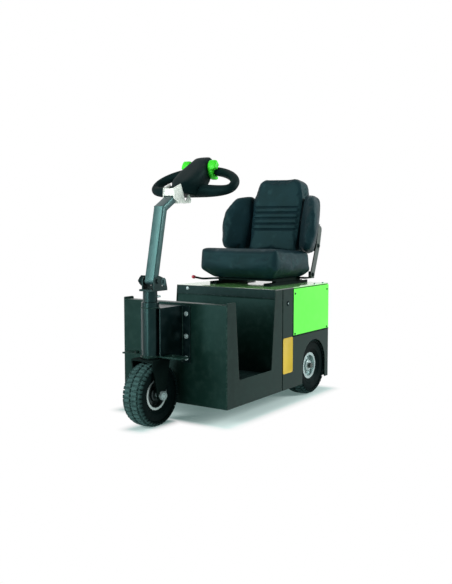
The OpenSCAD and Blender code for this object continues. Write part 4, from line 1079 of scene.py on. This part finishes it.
def makeFasteners(look, tree):
    mesh = bpy.data.meshes.new("places")
    mesh.from_pydata([tuple(value * mm for value in place) for place, facing in look["rows"]], [], [])
    mesh.attributes.new("facing", "FLOAT_VECTOR", "POINT")
    mesh.attributes.new("size", "FLOAT", "POINT")
    for i, (place, facing) in enumerate(look["rows"]):
        mesh.attributes["facing"].data[i].vector = facing
        mesh.attributes["size"].data[i].value = look["size"] * mm
    return runTree(tree, mesh, plainMesh(look["shape"](), "fastener"), finishFor(look["slot"]))


fasteners = fastenerTree()
for name, look in fastenerSets.items():
    addPiece(name, makeFasteners(look, fasteners), look["slot"], look["body"], sharp=30)
print("fasteners made:", len(fastenerSets))


plateLook = {"x": (-0.1895, -0.101), "z": (0.140, 0.302), "face": 0.270, "power": 14, "sides": 64, "rows": [
    (0.0, -0.0004), (0.0, 0.0008), (0.0004, 0.0013), (0.0041, 0.0013), (0.0046, 0.0009)]}  # inset and out


def makePlate(look):  # blank plate with a raised rim
    (left, right), (low, high) = look["x"], look["z"]
    bm = bmesh.new()
    bridge(bm, [[Vector(((left + right) / 2 + x, look["face"] + out, (low + high) / 2 + z)) for x, z in roundedRing(
        (right - left) / 2 - inset, (high - low) / 2 - inset, look["power"], look["sides"])]
        for inset, out in look["rows"]], wrap=False, caps=True)
    return bm


addPiece("blankPlate", makePlate(plateLook), None, "chassis", own="yellowPlate")


def addTurned(name, rows, sides, place, facing, slot, body, sharp=35, own=None):
    bm = bmesh.new()
    turned(bm, rows, sides, place, facing)
    addPiece(name, bm, slot, body, sharp=sharp, own=own)


keyLook = {"place": (-0.1435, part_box("key_switch")[1].y, 0.457), "facing": (0, 1, 0),
           "barrel": [(0.0088, -0.002), (0.0088, 0.001), (0.0078, 0.0024), (0.0066, 0.0026), (0.0061, 0.0016),
                      (0.002, 0.0014)],
           "core": [(0.0036, -0.001), (0.0036, 0.0024), (0.0028, 0.0032)]}
addTurned("keyBarrel", keyLook["barrel"], 32, keyLook["place"], keyLook["facing"], "black_plastic", "chassis")
addTurned("keyCore", keyLook["core"], 24, keyLook["place"], keyLook["facing"], "rim_silver", "chassis")


trimLooks = {  # dark strips on both sides, painted shade standing in for the shadow in the gaps along the lime covers' front and bottom edges and in the side panel seam: how far out, and the x and z of their corners
    "coverSeals": {"depth": (0.262, 0.2711), "round": 0.0005, "boxes": [
        ((-0.1962, 0.301), (-0.1897, 0.5215)), ((-0.5462, 0.2992), (-0.1936, 0.3058))]},
    "seamBacking": {"depth": (0.2555, 0.2660), "round": 0.0008, "boxes": [((-0.1055, 0.072), (-0.0885, 0.50))]},
}
for name, look in trimLooks.items():
    trim = bmesh.new()
    for side in (1, -1):
        near, far = sorted(side * value for value in look["depth"])
        for low, high in look["boxes"]:
            softBox(trim, (low[0], near, low[1]), (high[0], far, high[1]), look["round"])
    addPiece(name, trim, "black_plastic", "chassis", own="railPaint")


lipLook = {"low": (-0.0345, -0.268, 0.486), "high": (-0.031, 0.268, 0.5252), "round": 0.0012}
lip = bmesh.new()
softBox(lip, lipLook["low"], lipLook["high"], lipLook["round"])
addPiece("deckLip", lip, "black_metal", "chassis")


nippleLook = {"place": (0.4783, 0.0241, 0.524), "facing": (-0.56, 0.83, 0.0), "rows": [
    (0.0058, -0.001), (0.0058, 0.0042), (0.004, 0.005), (0.0032, 0.0072), (0.0044, 0.0098), (0.0038, 0.0126),
    (0.0015, 0.0134)]}
addTurned("greaseNipple", nippleLook["rows"], 14, nippleLook["place"], nippleLook["facing"], "rim_silver", "steering")


leverLook = {"points": [(-241.5, -156, 548), (-241.5, -176, 548), (-241, -198, 547), (-236, -217, 546),
                        (-222, -234, 545), (-203, -246, 546), (-180, -256, 551), (-155, -262, 556)],
             "radius": 0.005, "sides": 12, "steps": 8, "knob": [
                 (0.0052, -0.012), (0.0064, -0.0105), (0.0082, -0.006), (0.0088, 0.0), (0.0081, 0.0045),
                 (0.0058, 0.0075), (0.0026, 0.009)]}


def smoothLine(points, steps):  # curve through the points
    rows = [points[0] * 2 - points[1]] + points + [points[-1] * 2 - points[-2]]
    line = []
    for a, b, c, d in zip(rows, rows[1:], rows[2:], rows[3:]):
        for i in range(steps):
            t = i / steps
            line.append((b * 2 + (c - a) * t + (a * 2 - b * 5 + c * 4 - d) * t * t
                         + (b * 3 - a - c * 3 + d) * t * t * t) * 0.5)
    return line + [points[-1]]


def makeRod(line, radius, sides):
    rings, side = [], Vector((0, 0, 1))
    for i, point in enumerate(line):
        ahead = (line[min(i + 1, len(line) - 1)] - line[max(i - 1, 0)]).normalized()
        side = (side - ahead * side.dot(ahead)).normalized()
        other = ahead.cross(side)
        rings.append([point + (side * math.cos(a) + other * math.sin(a)) * radius for a in turns(sides)])
    bm = bmesh.new()
    bridge(bm, rings, wrap=False, caps=True)
    return bm


leverLine = smoothLine([Vector(point) * mm for point in leverLook["points"]], leverLook["steps"])
addPiece("releaseLever", makeRod(leverLine, leverLook["radius"], leverLook["sides"]), "black_metal", "seat",
         ("slide_lever",))
addTurned("leverKnob", leverLook["knob"], 24, leverLine[-1], leverLine[-1] - leverLine[-3], None, "seat", 40, "knobRed")
print("small parts made")
